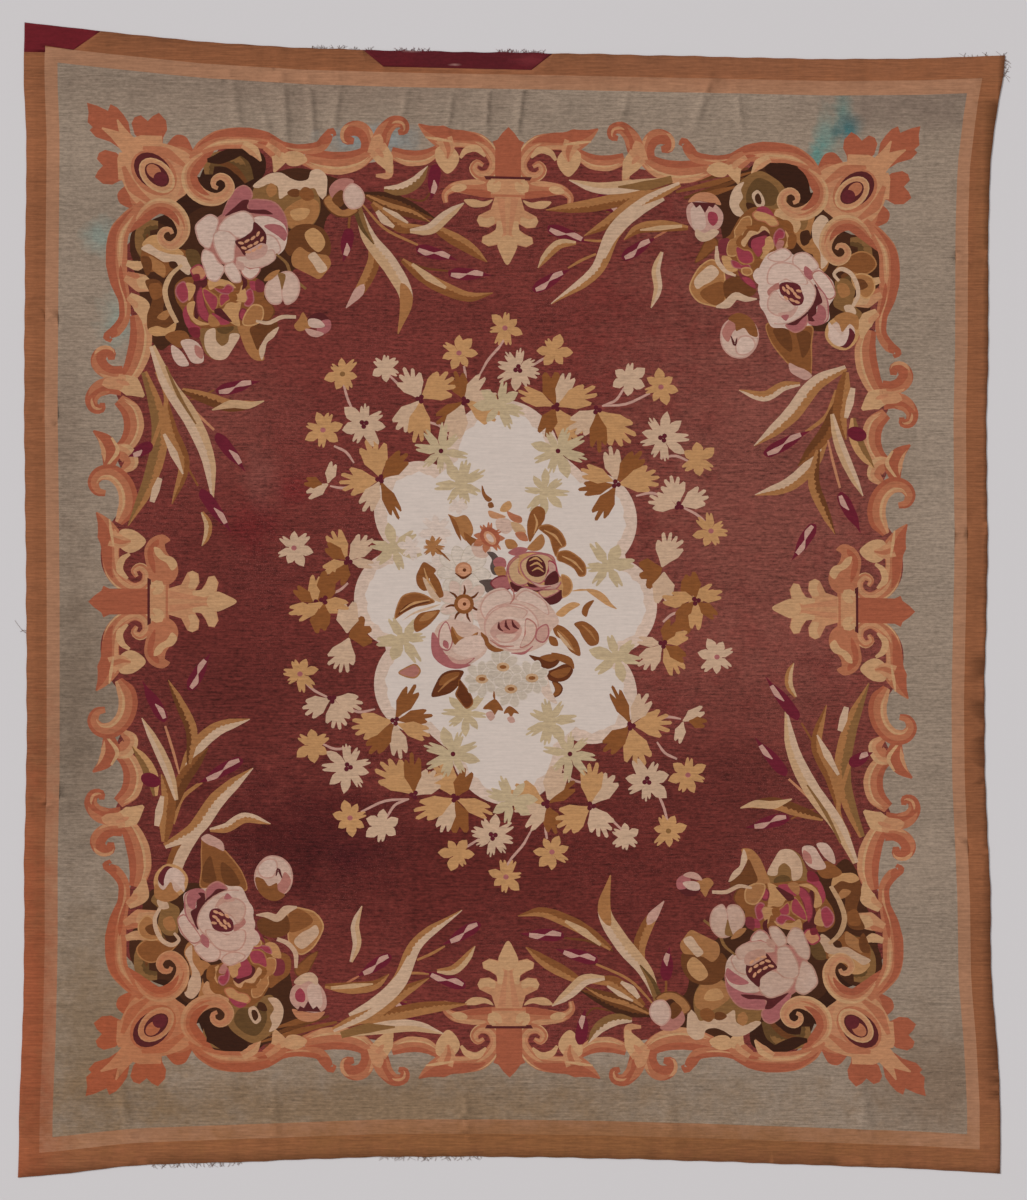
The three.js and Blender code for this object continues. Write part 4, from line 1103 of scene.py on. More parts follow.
PULLS = table(
    "x y right down",
    (-1, -1, 0.0, 0.0), (0, -1, 2.5, 2.0), (1, -1, -2.0, 18.0), (1, 0, -5.0, 7.5), (1, 1, 2.0, -4.0),
    (0, 1, 3.5, -2.0), (-1, 1, -1.0, -5.0), (-1, 0, 0.0, -1.0))
PULL_X, PULL_Y, PULL_END = 351.0, 430.0, 1.25


# How far a dropped point may lie off its line, and the longest straight step (warps)
SLACK, LONGEST_STEP = 0.15, 24


def thinned(ring):
    """An outline without the points that lie almost on the line between their neighbours."""
    keep = [0]
    for i in range(1, len(ring) - 1):
        a, b = ring[keep[-1]], ring[i + 1]
        way = b - a
        long = math.hypot(*way)
        between = ring[keep[-1] + 1:i + 1]
        off = np.abs(way[0] * (between[:, 1] - a[1]) - way[1] * (between[:, 0] - a[0])) / max(long, 1e-6)
        if off.max() > SLACK or long > LONGEST_STEP:
            keep.append(i)
    keep.append(len(ring) - 1)
    return ring[keep]


def pulled(p):
    """The cartoon's points as woven."""
    u = np.clip((p[:, 0] - MID_X) / PULL_X, -PULL_END, PULL_END)
    v = np.clip((p[:, 1] - MID_Y) / PULL_Y, -PULL_END, PULL_END)
    out = p.copy()
    for row in PULLS:
        a, b = row["x"], row["y"]
        if a and b:
            share = (1 + a * u) * (1 + b * v) * (a * u + b * v - 1) / 4
        elif a:
            share = (1 + a * u) * (1 - v * v) / 2
        else:
            share = (1 - u * u) * (1 + b * v) / 2
        out[:, 0] += row["right"] * share
        out[:, 1] += row["down"] * share
    return out


# The sides of the rug, in metres, as the solids have them

TOP_EDGE = [(0.020, 0), (0.250, 0.026), (0.550, 0.057), (0.850, 0.076), (1.210, 0.086), (1.630, 0.093),
    (2.050, 0.102), (2.440, 0.110), (2.710, 0.108), (WIDTH, 0.099)]
RIGHT_EDGE = [(0.099, 0), (0.150, 0.004), (0.250, 0.022), (0.430, 0.044), (0.620, 0.050), (0.980, 0.051),
    (1.190, 0.056), (1.610, 0.053), (2.030, 0.062), (2.270, 0.060), (2.630, 0.044), (2.870, 0.041), (3.060, 0.025),
    (3.250, 0.015), (3.454, 0.015)]
BOTTOM_EDGE = [(0.015, 0.012), (0.255, 0.026), (0.525, 0.036), (0.915, 0.050), (1.215, 0.058), (1.575, 0.063),
    (1.875, 0.062), (2.295, 0.047), (2.625, 0.035), (2.835, 0.011), (WIDTH, 0)]
LEFT_EDGE = [(0, 0), (0.085, 0.003), (0.205, 0.004), (0.420, 0.013), (0.690, 0.019), (0.960, 0.019), (1.200, 0.025),
    (1.740, 0.025), (2.340, 0.019), (2.790, 0.022), (3.120, 0.025), (3.300, 0.018), (LENGTH, 0.020)]
SIDES = [(TOP_EDGE, lambda a, i: (a - WIDTH / 2, LENGTH / 2 - i)), (RIGHT_EDGE, lambda a,
    i: (WIDTH / 2 - i, LENGTH / 2 - a)), (BOTTOM_EDGE, lambda a, i: (WIDTH / 2 - a, i - LENGTH / 2)),
    (LEFT_EDGE, lambda a, i: (i - WIDTH / 2, a - LENGTH / 2))]


def waver(along, length):
    calm = np.sqrt(np.clip(np.sin(np.pi * along / length), 0, 1))
    turn = 2 * np.pi * along / WAVER_LENGTH
    return WAVER * calm * (0.6 * np.sin(turn) + 0.4 * np.sin(0.37 * turn + 1))


def rug_outline():
    """The rug's edge, in metres, clockwise from the upper left corner."""
    out = []
    for table, place in SIDES:
        line = smooth(table, False, EDGE_STEP)
        first, length = table[0][0], table[-1][0] - table[0][0]
        inward = np.maximum(line[:, 1] + waver(line[:, 0] - first, length), 0)
        out += [place(a, i) for a, i in zip(line[:-1, 0], inward[:-1])]
    return np.array(out)


def to_cartoon(p):
    return np.stack([p[:, 0] / WARP + RUG_MID_X, RUG_MID_Y - p[:, 1] / WARP], 1)


def to_rug(p):
    return np.stack([(p[:, 0] - RUG_MID_X) * WARP, (RUG_MID_Y - p[:, 1]) * WARP], 1)


MEET_ROUNDS, BAND_STEPS = 12, 48


def band_ring(insets):
    """A line that keeps its distance from each side: (top, right, bottom, left), in warps."""
    def bow(table, a):
        t = np.array(table)
        return np.interp(a, t[:, 0], t[:, 1])
    top, right, bottom, left = (d * WARP for d in insets)

    def side_x(y, which):
        if which == "left":
            return bow(LEFT_EDGE, y + LENGTH / 2) - WIDTH / 2 + left
        return WIDTH / 2 - bow(RIGHT_EDGE, LENGTH / 2 - y) - right

    def side_y(x, which):
        if which == "top":
            return LENGTH / 2 - bow(TOP_EDGE, x + WIDTH / 2) - top
        return bow(BOTTOM_EDGE, WIDTH / 2 - x) - LENGTH / 2 + bottom

    def meet(across_side, along_side):
        x, y = 0.0, 0.0
        for _ in range(MEET_ROUNDS):
            y = side_y(x, along_side)
            x = side_x(y, across_side)
        return x, y
    corners = [meet("left", "top"), meet("right", "top"), meet("right", "bottom"), meet("left", "bottom")]
    out = []
    for k, name in enumerate(("top", "right", "bottom", "left")):
        a, b = corners[k], corners[(k + 1) % 4]
        t = np.linspace(0, 1, BAND_STEPS, endpoint=False)
        if name in ("top", "bottom"):
            x = a[0] + (b[0] - a[0]) * t
            out += [(u, float(side_y(u, name))) for u in x]
        else:
            y = a[1] + (b[1] - a[1]) * t
            out += [(float(side_x(v, name)), v) for v in y]
    return to_cartoon(np.array(out))


CORNER_OPENING = [(-WIDTH / 2 - OVERHANG, LENGTH / 2 + OVERHANG), (-1.208, LENGTH / 2 + OVERHANG), (-1.232, 1.707),
    (-1.314, 1.650), (-1.399, 1.663), (-1.399, 1.643), (-WIDTH / 2 - OVERHANG, 1.645)]
EDGE_OPENING = [(-0.482, 1.683), (0.160, 1.676), (0.126, 1.641), (0.060, 1.590), (-0.384, 1.600), (-0.446, 1.651)]


def inside(points, ring):
    """Which points lie inside a ring."""
    x, y = points[:, 0], points[:, 1]
    found = np.zeros(len(points), bool)
    ax, ay = ring[:, 0], ring[:, 1]
    bx, by = np.roll(ax, -1), np.roll(ay, -1)
    for x0, y0, x1, y1 in zip(ax, ay, bx, by):
        if y0 == y1:
            continue
        crosses = (y0 > y) != (y1 > y)
        found ^= crosses & (x < (x1 - x0) * (y - y0) / (y1 - y0) + x0)
    return found


# Soft ripples and creases left from folding: each runs from one point to another (metres)

CREASES = table(
    "start end width height",
    ((-0.70, 1.63), (-0.66, 1.30), 0.023, 0.0094), ((-0.62, 1.60), (-0.58, 1.34), 0.019, 0.0085),
    ((-0.76, 1.50), (-0.70, 1.30), 0.020, 0.0073), ((-0.86, 1.62), (-0.80, 1.38), 0.027, 0.0078),
    ((-0.52, 1.60), (-0.53, 1.36), 0.020, 0.0067), ((-0.08, 1.57), (-0.07, 1.36), 0.019, 0.0092),
    ((0.03, 1.56), (0.02, 1.38), 0.017, 0.0083), ((-0.18, 1.55), (-0.19, 1.38), 0.017, 0.0061),
    ((-0.32, 1.56), (-0.33, 1.36), 0.022, 0.0061), ((0.35, 1.57), (0.33, 1.40), 0.022, 0.0061),
    ((0.60, 1.60), (0.55, 1.40), 0.023, 0.0081), ((0.66, 1.58), (0.70, 1.40), 0.020, 0.0071),
    ((-1.20, -1.38), (-1.12, -1.67), 0.028, 0.0078), ((-0.72, -1.44), (-0.70, -1.66), 0.027, 0.0071),
    ((-0.15, -1.46), (-0.12, -1.65), 0.025, 0.0071), ((0.45, -1.44), (0.50, -1.65), 0.030, 0.0068),
    ((1.02, -1.40), (1.10, -1.67), 0.030, 0.0073), ((-1.46, 0.56), (-1.26, 0.50), 0.023, 0.0068),
    ((-1.46, 0.86), (-1.28, 0.84), 0.022, 0.0061), ((-1.45, -0.62), (-1.26, -0.60), 0.027, 0.0068),
    ((1.43, 1.02), (1.24, 1.05), 0.022, 0.0068), ((1.43, 0.20), (1.24, 0.24), 0.027, 0.0068),
    ((1.44, -0.75), (1.25, -0.72), 0.027, 0.0073), ((-1.30, 1.30), (-0.40, 1.10), 0.090, 0.0030),
    ((0.40, -0.90), (1.30, -1.20), 0.090, 0.0030))

# Ripples broader than the first need no points of their own. The others place the rows of points on a crease
BROAD_RIPPLE, CREASE_START, CREASE_STEP = 0.06, 0.01, 0.022
CREASE_ROWS = (-1.1, -0.8, -0.55, -0.32, -0.1, 0.1, 0.32, 0.55, 0.8, 1.1)
# How far a crease wanders off its line, in its own widths, how fast it does so, and how steep its back is
CREASE_WANDER, CREASE_TURNS, CREASE_STEEP = 0.18, 6.0, 3


def crease_points():
    """Points across each narrow crease, close enough for its round back."""
    rows = []
    for c in CREASES:
        a, b = np.array(c["start"]), np.array(c["end"])
        long = np.linalg.norm(b - a)
        if c["width"] > BROAD_RIPPLE:
            continue
        way = (b - a) / long
        beside = np.array([-way[1], way[0]])
        for along in np.arange(CREASE_START, long, CREASE_STEP):
            for off in CREASE_ROWS:
                rows.append(a + way * along + beside * off * c["width"])
    return to_cartoon(np.array(rows))


def lift(x, y):
    """How far the cloth stands off the floor."""
    z = np.zeros(len(x))
    for c in CREASES:
        a, b = np.array(c["start"]), np.array(c["end"])
        way = (b - a) / np.linalg.norm(b - a)
        along = ((x - a[0]) * way[0] + (y - a[1]) * way[1]) / np.linalg.norm(b - a)
        off = (x - a[0]) * way[1] - (y - a[1]) * way[0]
        off = off + CREASE_WANDER * c["width"] * np.sin(CREASE_TURNS * along)
        ends = np.clip(1 - (2 * along - 1) ** 2, 0, 1)
        z += c["height"] * ends * np.exp(-(off / c["width"]) ** 2 * CREASE_STEEP)
    return z


# Cloth as one closed sheet

def in_scene(name, data):
    obj = bpy.data.objects.new(name, data)
    bpy.context.scene.collection.objects.link(obj)
    return obj


def triangulated(points, edges):
    """A flat triangulation that keeps the given edges, wound face up."""
    verts, made, faces, _, _, _ = delaunay_2d_cdt([Vector(p) for p in points], edges, [], 0, 1e-4, False)
    verts = np.array([tuple(v) for v in verts])
    faces = np.array([tuple(f) for f in faces])
    side, other = verts[faces[:, 1]] - verts[faces[:, 0]], verts[faces[:, 2]] - verts[faces[:, 0]]
    area = side[:, 0] * other[:, 1] - side[:, 1] * other[:, 0]
    faces, area = faces[np.abs(area) > 1e-7], area[np.abs(area) > 1e-7]
    faces[area > 0] = faces[area > 0][:, ::-1]
    return verts, faces


def ring_edges(rings):
    points, edges = [], []
    for ring in rings:
        start = len(points)
        points.extend(map(tuple, ring))
        edges.extend((start + k, start + (k + 1) % len(ring)) for k in range(len(ring)))
    return points, edges


def painted(middle, shapes):
    """The yarn of each point: the last area laid over it."""
    yarn = np.zeros(len(middle), int)
    order = np.argsort(middle[:, 0])
    x, y = middle[order, 0], middle[order, 1]
    for ring, k in shapes:
        low, high = ring.min(axis=0), ring.max(axis=0)
        first, last = np.searchsorted(x, (low[0], high[0]))
        rows = order[first:last][(y[first:last] >= low[1]) & (y[first:last] <= high[1])]
        if len(rows):
            yarn[rows[inside(middle[rows], ring)]] = k
    return yarn


def paired(faces):
    """Each triangle's three sides, with the row of the side that meets it, or -1 at an open edge."""
    sides = np.concatenate([faces[:, [0, 1]], faces[:, [1, 2]], faces[:, [2, 0]]])
    key = np.sort(sides, axis=1)
    order = np.lexsort((key[:, 1], key[:, 0]))
    k = key[order]
    same = (k[1:] == k[:-1]).all(axis=1)
    mate = np.full(len(sides), -1)
    mate[order[1:][same]] = order[:-1][same]
    mate[order[:-1][same]] = order[1:][same]
    return sides, mate


CLEAR = 4  # how near to the edge of a yarn no point of the grid is needed, in warps
# The grids' steps, where the rug's grid starts and ends, and the jog that keeps its points off the outlines
RUG_GRID, PATCH_GRID = 15.0, 6.0
GRID_START, GRID_RIGHT, GRID_FOOT, GRID_JOG = 22, 1005, 1180, (0.37, 0.41)


def weave_plan(shapes, region, holes, grid):
    """Lays the areas of yarn on a region, topmost last, and returns its points, triangles and yarns. Only the
    edges where one yarn meets another are kept, with a grid of points between them for the soft ripples.
    """
    def cloth(verts, faces):
        middle = verts[faces].mean(axis=1)
        keep = inside(middle, region)
        for ring in holes:
            keep &= ~inside(middle, ring)
        faces, middle = faces[keep], middle[keep]
        return faces, painted(middle, shapes)
    points, edges = ring_edges([ring for ring, _ in shapes] + [region] + holes)
    verts, faces = triangulated(points, edges)
    faces, yarn = cloth(verts, faces)
    sides, mate = paired(faces)
    owner = np.tile(np.arange(len(faces)), 3)
    row = np.arange(len(sides))
    seam = (mate < 0) | ((row < mate) & (yarn[owner] != yarn[owner[mate]]))
    seams = sides[seam]
    used = np.unique(seams)
    new = np.full(len(verts), -1)
    new[used] = np.arange(len(used))
    points = [tuple(p) for p in verts[used]]
    near = set(map(tuple, np.round(verts[used] / CLEAR).astype(int)))
    points += [tuple(p) for p in grid if tuple(np.round(p / CLEAR).astype(int)) not in near]
    verts, faces = triangulated(points, [tuple(e) for e in new[seams].tolist()])
    faces, yarn = cloth(verts, faces)
    return verts, faces, yarn


# The face, the underside beside it and the rim's strips in rows above it, as parts of one square
FACE_SCALE, UNDER_SCALE, UNDER_RIGHT = 0.84, 0.3, 0.995
RIM_LOW, RIM_ROW, RIM_HIGH, RIM_ROWS, RIM_SPAN = 0.86, 0.01, 0.007, 12, 0.95


def bake_layout(mesh, flat, faces, rim_count):
    """Lays the face, the underside and the rim apart, for the colours to be kept in one picture."""
    at = (flat - flat.min(axis=0)) / np.ptp(flat, axis=0).max()
    top = at[faces] * FACE_SCALE
    under = at[faces[:, ::-1]] * (-UNDER_SCALE, UNDER_SCALE) + (UNDER_RIGHT, 0)
    count = max(rim_count, RIM_ROWS)
    low = RIM_LOW + RIM_ROW * (np.arange(rim_count) % RIM_ROWS)
    start = np.arange(rim_count) // RIM_ROWS * RIM_ROWS / count * RIM_SPAN
    wide = RIM_SPAN * (RIM_ROWS - 1) / count
    rim = np.stack([np.stack([x, y], 1) for x, y in ((start, low), (start + wide, low),
        (start + wide, low + RIM_HIGH), (start, low + RIM_HIGH))], 1)
    layer = mesh.uv_layers.new(name="OFBake")
    layer.data.foreach_set("uv", np.concatenate([top.ravel(), under.ravel(), rim.ravel()]).astype(np.float32))


def closed_sheet(name, verts, faces, yarn, thick, materials):
    """A closed sheet from a flat plan, and its flat area: its face, its underside and the rim that joins them."""
    used = np.unique(faces)
    new = np.full(len(verts), -1)
    new[used] = np.arange(len(used))
    faces, flat = new[faces], to_rug(verts[used])
    raised = lift(flat[:, 0], flat[:, 1])
    n = len(flat)
    face_side = np.column_stack([flat, raised + thick])
    under_side = np.column_stack([flat, raised])
    sides, mate = paired(faces)
    rim, rim_yarn = sides[mate < 0], np.tile(yarn, 3)[mate < 0]
    quads = np.column_stack([rim[:, 1], rim[:, 0], rim[:, 0] + n, rim[:, 1] + n])
    mesh = bpy.data.meshes.new(name)
    all_faces = faces.tolist() + (faces[:, ::-1] + n).tolist() + quads.tolist()
    mesh.from_pydata(np.vstack([face_side, under_side]).tolist(), [], all_faces)
    for m in materials:
        mesh.materials.append(m)
    mesh.polygons.foreach_set("material_index", np.concatenate([yarn, yarn, rim_yarn]).astype(np.int32))
    mesh.polygons.foreach_set("use_smooth", np.concatenate([np.ones(2 * len(faces), bool),
        np.zeros(len(quads), bool)]))
    bake_layout(mesh, flat, faces, len(quads))
    mesh.update()
    obj = in_scene(name, mesh)
    a, b, c = flat[faces[:, 0]], flat[faces[:, 1]], flat[faces[:, 2]]
    area = np.abs((b - a)[:, 0] * (c - a)[:, 1] - (b - a)[:, 1] * (c - a)[:, 0]).sum() / 2
    print(name, 2 * len(faces) + 2 * len(quads), "triangles,", round(float(area), 4), "square metres")
    return obj, float(area)


# Finishes

def linear(colour):
    out = []
    for c in colour:
        c /= 255
        out.append(c / 12.92 if c <= 0.04045 else ((c + 0.055) / 1.055) ** 2.4)
    return (*out, 1.0)


class Nodes:
    """Places and joins the nodes of one tree."""
    def __init__(self, tree):
        self.tree = tree
        self.count = 0

    def add(self, kind, **settings):
        node = self.tree.nodes.new(kind)
        node.location = (self.count * 180, 0)
        self.count += 1
        for key, value in settings.items():
            setattr(node, key, value)
        return node

    def math(self, operation, a, b=None, clamp=False):
        node = self.add("ShaderNodeMath", operation=operation, use_clamp=clamp)
        for socket, value in zip(node.inputs, (a, b)):
            self.feed(socket, value)
        return node.outputs[0]

    def times(self, a, b, clamp=False):
        return self.math("MULTIPLY", a, b, clamp)

    def plus(self, a, b):
        return self.math("ADD", a, b)

    def brighter(self, colour, value):
        node = self.add("ShaderNodeHueSaturation")
        self.feed(node.inputs["Color"], colour)
        self.feed(node.inputs["Value"], value)
        return node.outputs[0]

    def mix(self, share, a, b):
        node = self.add("ShaderNodeMix", data_type="RGBA")
        self.feed(node.inputs[0], share)
        self.feed(node.inputs[6], a)
        self.feed(node.inputs[7], b)
        return node.outputs[2]

    def noise(self, vector, scale, detail=3.0, rough=0.5):
        node = self.add("ShaderNodeTexNoise")
        self.feed(node.inputs["Vector"], vector)
        node.inputs["Scale"].default_value = scale
        node.inputs["Detail"].default_value = detail
        node.inputs["Roughness"].default_value = rough
        return node.outputs["Fac"]

    def stretch(self, vector, x, y, z=1.0):
        node = self.add("ShaderNodeMapping")
        self.feed(node.inputs["Vector"], vector)
        node.inputs["Scale"].default_value = (x, y, z)
        return node.outputs[0]

    def ramp(self, value, low, high):
        node = self.add("ShaderNodeMapRange", clamp=True)
        self.feed(node.inputs["Value"], value)
        self.feed(node.inputs["From Min"], low)
        self.feed(node.inputs["From Max"], high)
        return node.outputs[0]

    def feed(self, socket, value):
        if value is None:
            return
        if isinstance(value, bpy.types.NodeSocket):
            self.tree.links.new(value, socket)
        else:
            socket.default_value = value


def effect(name, inputs, outputs):
    """A shared effect: a node group with named inputs and outputs."""
    tree = bpy.data.node_groups.new(name, "ShaderNodeTree")
    for label, kind, value in inputs:
        socket = tree.interface.new_socket(name=label, in_out="INPUT", socket_type="NodeSocket" + kind)
        if value is not None:
            socket.default_value = value
    for label, kind in outputs:
        tree.interface.new_socket(name=label, in_out="OUTPUT", socket_type="NodeSocket" + kind)
    nodes = Nodes(tree)
    return tree, nodes, nodes.add("NodeGroupInput").outputs, nodes.add("NodeGroupOutput").inputs


def make_abrash():
    """Uneven dye: broad bands across the loom, fine rows of weft and a light mottle."""
    tree, n, given, out = effect("abrash", [("Colour", "Color", None), ("Place", "Vector", None),
        ("Bands", "Float", 0.1), ("Rows", "Float", 0.1), ("Mottle", "Float", 0.1)], [("Colour", "Color")])
    place = given["Place"]
    bands = n.noise(n.stretch(place, 0.35, 5.0), 1.0, 3.0, 0.6)
    rows = n.noise(n.stretch(place, 13.0, 210.0), 1.0, 2.0, 0.6)
    mottle = n.noise(n.stretch(place, 60.0, 125.0), 1.0, 5.0, 0.72)
    streaks = n.noise(n.stretch(place, 26.0, 0.8), 1.0, 2.0, 0.6)
    total = None
    for value, share, much in ((bands, "Bands", 1.0), (streaks, "Bands", 0.4), (rows, "Rows", 1.0),
                               (mottle, "Mottle", 1.0)):
        part = n.times(n.times(n.math("SUBTRACT", value, 0.5), much), given[share])
        total = part if total is None else n.plus(total, part)
    light = n.plus(n.times(total, 2.0), 1.0)
    n.feed(out["Colour"], n.brighter(given["Colour"], light))
    return tree


def make_ribs():
    """The ribs of the warps with the weft packed over them, as a bump and as painted shade: the colour is darker in
    their hollows and lighter on their crests.
    """
    tree, n, given, out = effect("ribbed weave with painted shade", [("Colour", "Color", None), ("Place", "Vector", None),
        ("Depth", "Float", 0.0005), ("Tone", "Float", 0.1)], [("Colour", "Color"), ("Normal", "Vector")])
    split = n.add("ShaderNodeSeparateXYZ")
    n.feed(split.inputs[0], given["Place"])
    drift = n.noise(n.stretch(given["Place"], 3.0, 1.0), 1.0, 1.0)
    across_loom = n.plus(split.outputs["X"], n.times(drift, WARP * 1.5))
    rib = n.math("SINE", n.times(across_loom, 2 * math.pi / WARP))
    weft = n.noise(n.stretch(given["Place"], 120.0, 900.0), 1.0, 2.0)
    height = n.plus(n.times(rib, 0.5), n.times(weft, 0.8))
    bump = n.add("ShaderNodeBump")
    bump.inputs["Strength"].default_value = 0.6
    n.feed(bump.inputs["Distance"], given["Depth"])
    n.feed(bump.inputs["Height"], height)
    # Painted shade: the colour follows the height of the ribs and weft, darker in the hollows and lighter on the
    # crests
    shade = n.plus(n.times(n.times(height, given["Tone"]), 0.5), 1.0)
    n.feed(out["Colour"], n.brighter(given["Colour"], shade))
    n.feed(out["Normal"], bump.outputs[0])
    return tree


def make_wear():
    """Worn rows, where the pale warps and paler weft show as flecks."""
    tree, n, given, out = effect("worn flecks", [("Colour", "Color", None), ("Fleck", "Color", None),
        ("Place", "Vector", None), ("Amount", "Float", 0.3)], [("Colour", "Color")])
    place = given["Place"]
    where = n.ramp(n.noise(place, 1.6, 5.0, 0.65), 0.38, 0.62)
    fleck = n.ramp(n.noise(n.stretch(place, 330.0, 260.0), 1.0, 2.0, 0.7), 0.56, 0.74)
    mask = n.times(n.times(where, fleck), given["Amount"], True)
    n.feed(out["Colour"], n.mix(mask, given["Colour"], given["Fleck"]))
    return tree


def make_stain():
    """A soft-edged patch of another colour, at a place and of a size."""
    tree, n, given, out = effect("stain", [("Colour", "Color", None), ("Stain", "Color", None),
        ("Place", "Vector", None), ("Middle", "Vector", None), ("Reach", "Vector", None), ("Strength", "Float", 0.5)],
        [("Colour", "Color")])
    away = n.add("ShaderNodeVectorMath", operation="SUBTRACT")
    n.feed(away.inputs[0], given["Place"])
    n.feed(away.inputs[1], given["Middle"])
    scaled = n.add("ShaderNodeVectorMath", operation="DIVIDE")
    n.feed(scaled.inputs[0], away.outputs[0])
    n.feed(scaled.inputs[1], given["Reach"])
    size = n.add("ShaderNodeVectorMath", operation="LENGTH")
    n.feed(size.inputs[0], scaled.outputs[0])
    ragged = n.times(n.math("SUBTRACT", n.noise(given["Place"], 12.0, 7.0, 0.72), 0.5), 1.9)
    near = n.ramp(n.plus(size.outputs["Value"], ragged), 1.1, 0.2)
    n.feed(out["Colour"], n.mix(n.times(near, given["Strength"], True), given["Colour"], given["Stain"]))
    return tree


ABRASH, RIBS, WEAR, STAIN = make_abrash(), make_ribs(), make_wear(), make_stain()


def place_group(n, tree, **values):
    node = n.add("ShaderNodeGroup", node_tree=tree)
    for label, value in values.items():
        n.feed(node.inputs[label], value)
    return node.outputs


# Patches of stray colour on the sage border and the burgundy ground (metres)
BORDER_STAINS = table(
    "stain middle reach strength",
    ((70, 128, 122), (0.945, 1.385), (0.05, 0.11), 0.55), ((66, 128, 122), (0.995, 1.470), (0.035, 0.07), 0.65),
    ((60, 124, 118), (0.918, 1.335), (0.032, 0.055), 0.65), ((34, 96, 100), (1.010, 1.412), (0.045, 0.055), 0.95),
    ((32, 84, 86), (0.972, 1.395), (0.018, 0.030), 0.6), ((112, 89, 64), (-1.24, -1.30), (0.28, 0.45), 0.65),
    ((112, 128, 132), (-0.42, 1.385), (0.16, 0.055), 0.6), ((110, 142, 136), (-1.235, 1.09), (0.06, 0.06), 0.45),
    ((112, 140, 132), (-1.19, 0.84), (0.06, 0.10), 0.4), ((122, 102, 88), (-0.6, 1.56), (0.9, 0.13), 0.6),
    ((106, 88, 78), (1.2, 1.50), (0.4, 0.13), 0.6), ((110, 92, 77), (-1.31, -0.3), (0.16, 0.6), 0.75),
    ((120, 101, 86), (-1.36, 0.5), (0.12, 0.4), 0.5), ((148, 130, 114), (1.30, 0.3), (0.14, 0.5), 0.6),
    ((125, 98, 71), (-0.4, -1.53), (1.4, 0.17), 0.75), ((112, 90, 72), (1.3, -1.45), (0.3, 0.24), 0.7))
GROUND_STAINS = table(
    "stain middle reach strength",
    ((126, 74, 63), (0.78, 0.3), (0.55, 1.2), 0.6), ((122, 66, 56), (-0.85, 0.55), (0.25, 0.22), 0.5),
    ((87, 33, 29), (-0.8, -0.15), (0.45, 0.5), 0.7), ((98, 26, 28), (-0.775, 0.22), (0.10, 0.09), 0.7),
    ((104, 28, 30), (-0.66, 0.33), (0.07, 0.05), 0.6), ((128, 76, 67), (-0.742, 0.366), (0.07, 0.11), 0.4),
    ((83, 29, 25), (-0.05, -0.78), (1.3, 0.4), 0.75), ((62, 17, 17), (-0.62, -0.72), (0.4, 0.22), 0.8),
    ((84, 31, 27), (0.70, -0.55), (0.45, 0.3), 0.6), ((66, 20, 24), (-0.49, -0.75), (0.12, 0.07), 0.4))
BAND_STAINS = table(
    "stain middle reach strength",
    ((138, 70, 44), (-1.46, -1.3), (0.14, 1.0), 0.75), ((126, 82, 50), (1.46, 1.2), (0.08, 0.5), 0.6),
    ((122, 78, 55), (0.6, 1.60), (1.0, 0.08), 0.5), ((128, 84, 49), (0.1, -1.62), (1.6, 0.12), 0.7))
PATCH_STAINS = table(
    "stain middle reach strength",
    ((80, 22, 28), (-0.17, 1.63), (0.6, 0.14), 0.9), ((190, 160, 155), (-0.30, 1.646), (0.03, 0.004), 0.3),
    ((180, 140, 130), (-0.17, 1.606), (0.02, 0.005), 0.5), ((120, 46, 50), (0.06, 1.62), (0.06, 0.02), 0.5))
FINISH = {
    "burgundy": {"bands": 0.32, "rows": 0.75, "mottle": 1.35, "wear": 1.0, "stains": GROUND_STAINS},
    "sage": {"bands": 0.24, "rows": 0.5, "mottle": 0.7, "wear": 0.25, "stains": BORDER_STAINS},
    "tan": {"bands": 0.34, "rows": 0.5, "mottle": 0.3, "wear": 0.1, "stains": BAND_STAINS},
    "tan_pale": {"bands": 0.24, "rows": 0.4, "mottle": 0.3, "wear": 0.1, "stains": BAND_STAINS},
    "ivory": {"bands": 0.03, "rows": 0.14, "mottle": 0.12, "wear": 0.0, "stains": []},
    "patch red": {"bands": 0.1, "rows": 0.2, "mottle": 0.4, "wear": 0.2, "stains": PATCH_STAINS},
}
PLAIN_FINISH = {"bands": 0.12, "rows": 0.30, "mottle": 0.42, "wear": 0.2, "stains": []}

# The lower corners are browner: the scrolls on the left, and the pale flowers and leaves on both sides
FRAME_STAINS = table("stain middle reach strength", ((152, 72, 38), (-1.10, -1.28), (0.60, 0.55), 0.4))
FLOWER_STAINS = table(
    "stain middle reach strength",
    ((138, 94, 64), (0.84, -1.06), (0.45, 0.42), 0.35), ((152, 90, 56), (-0.85, -1.08), (0.42, 0.40), 0.25))
for yarn_name in ("terra", "terra_dark", "terra_light", "coral", "cream_gold"):
    FINISH[yarn_name] = {**PLAIN_FINISH, "stains": FRAME_STAINS}
for yarn_name in ("rose_cream", "rose_white", "rose_pale", "cream_leaf", "straw", "straw_gold", "gold"):
    FINISH[yarn_name] = {**PLAIN_FINISH, "stains": FLOWER_STAINS}


# The depth of the ribs, the strength of the painted shade along them, and how rough and shiny the wool is
RIB_DEPTH, RIB_PAINTED_SHADE = 0.0006, 0.16
WOOL_ROUGHNESS, WOOL_SHEEN = 0.92, 0.15
# The colours of pale and of dark flecks, from the yarn's own
PALE_GAIN, PALE_LIFT, DARK_RED, DARK_REST = 1.9, 0.04, 0.45, 0.4


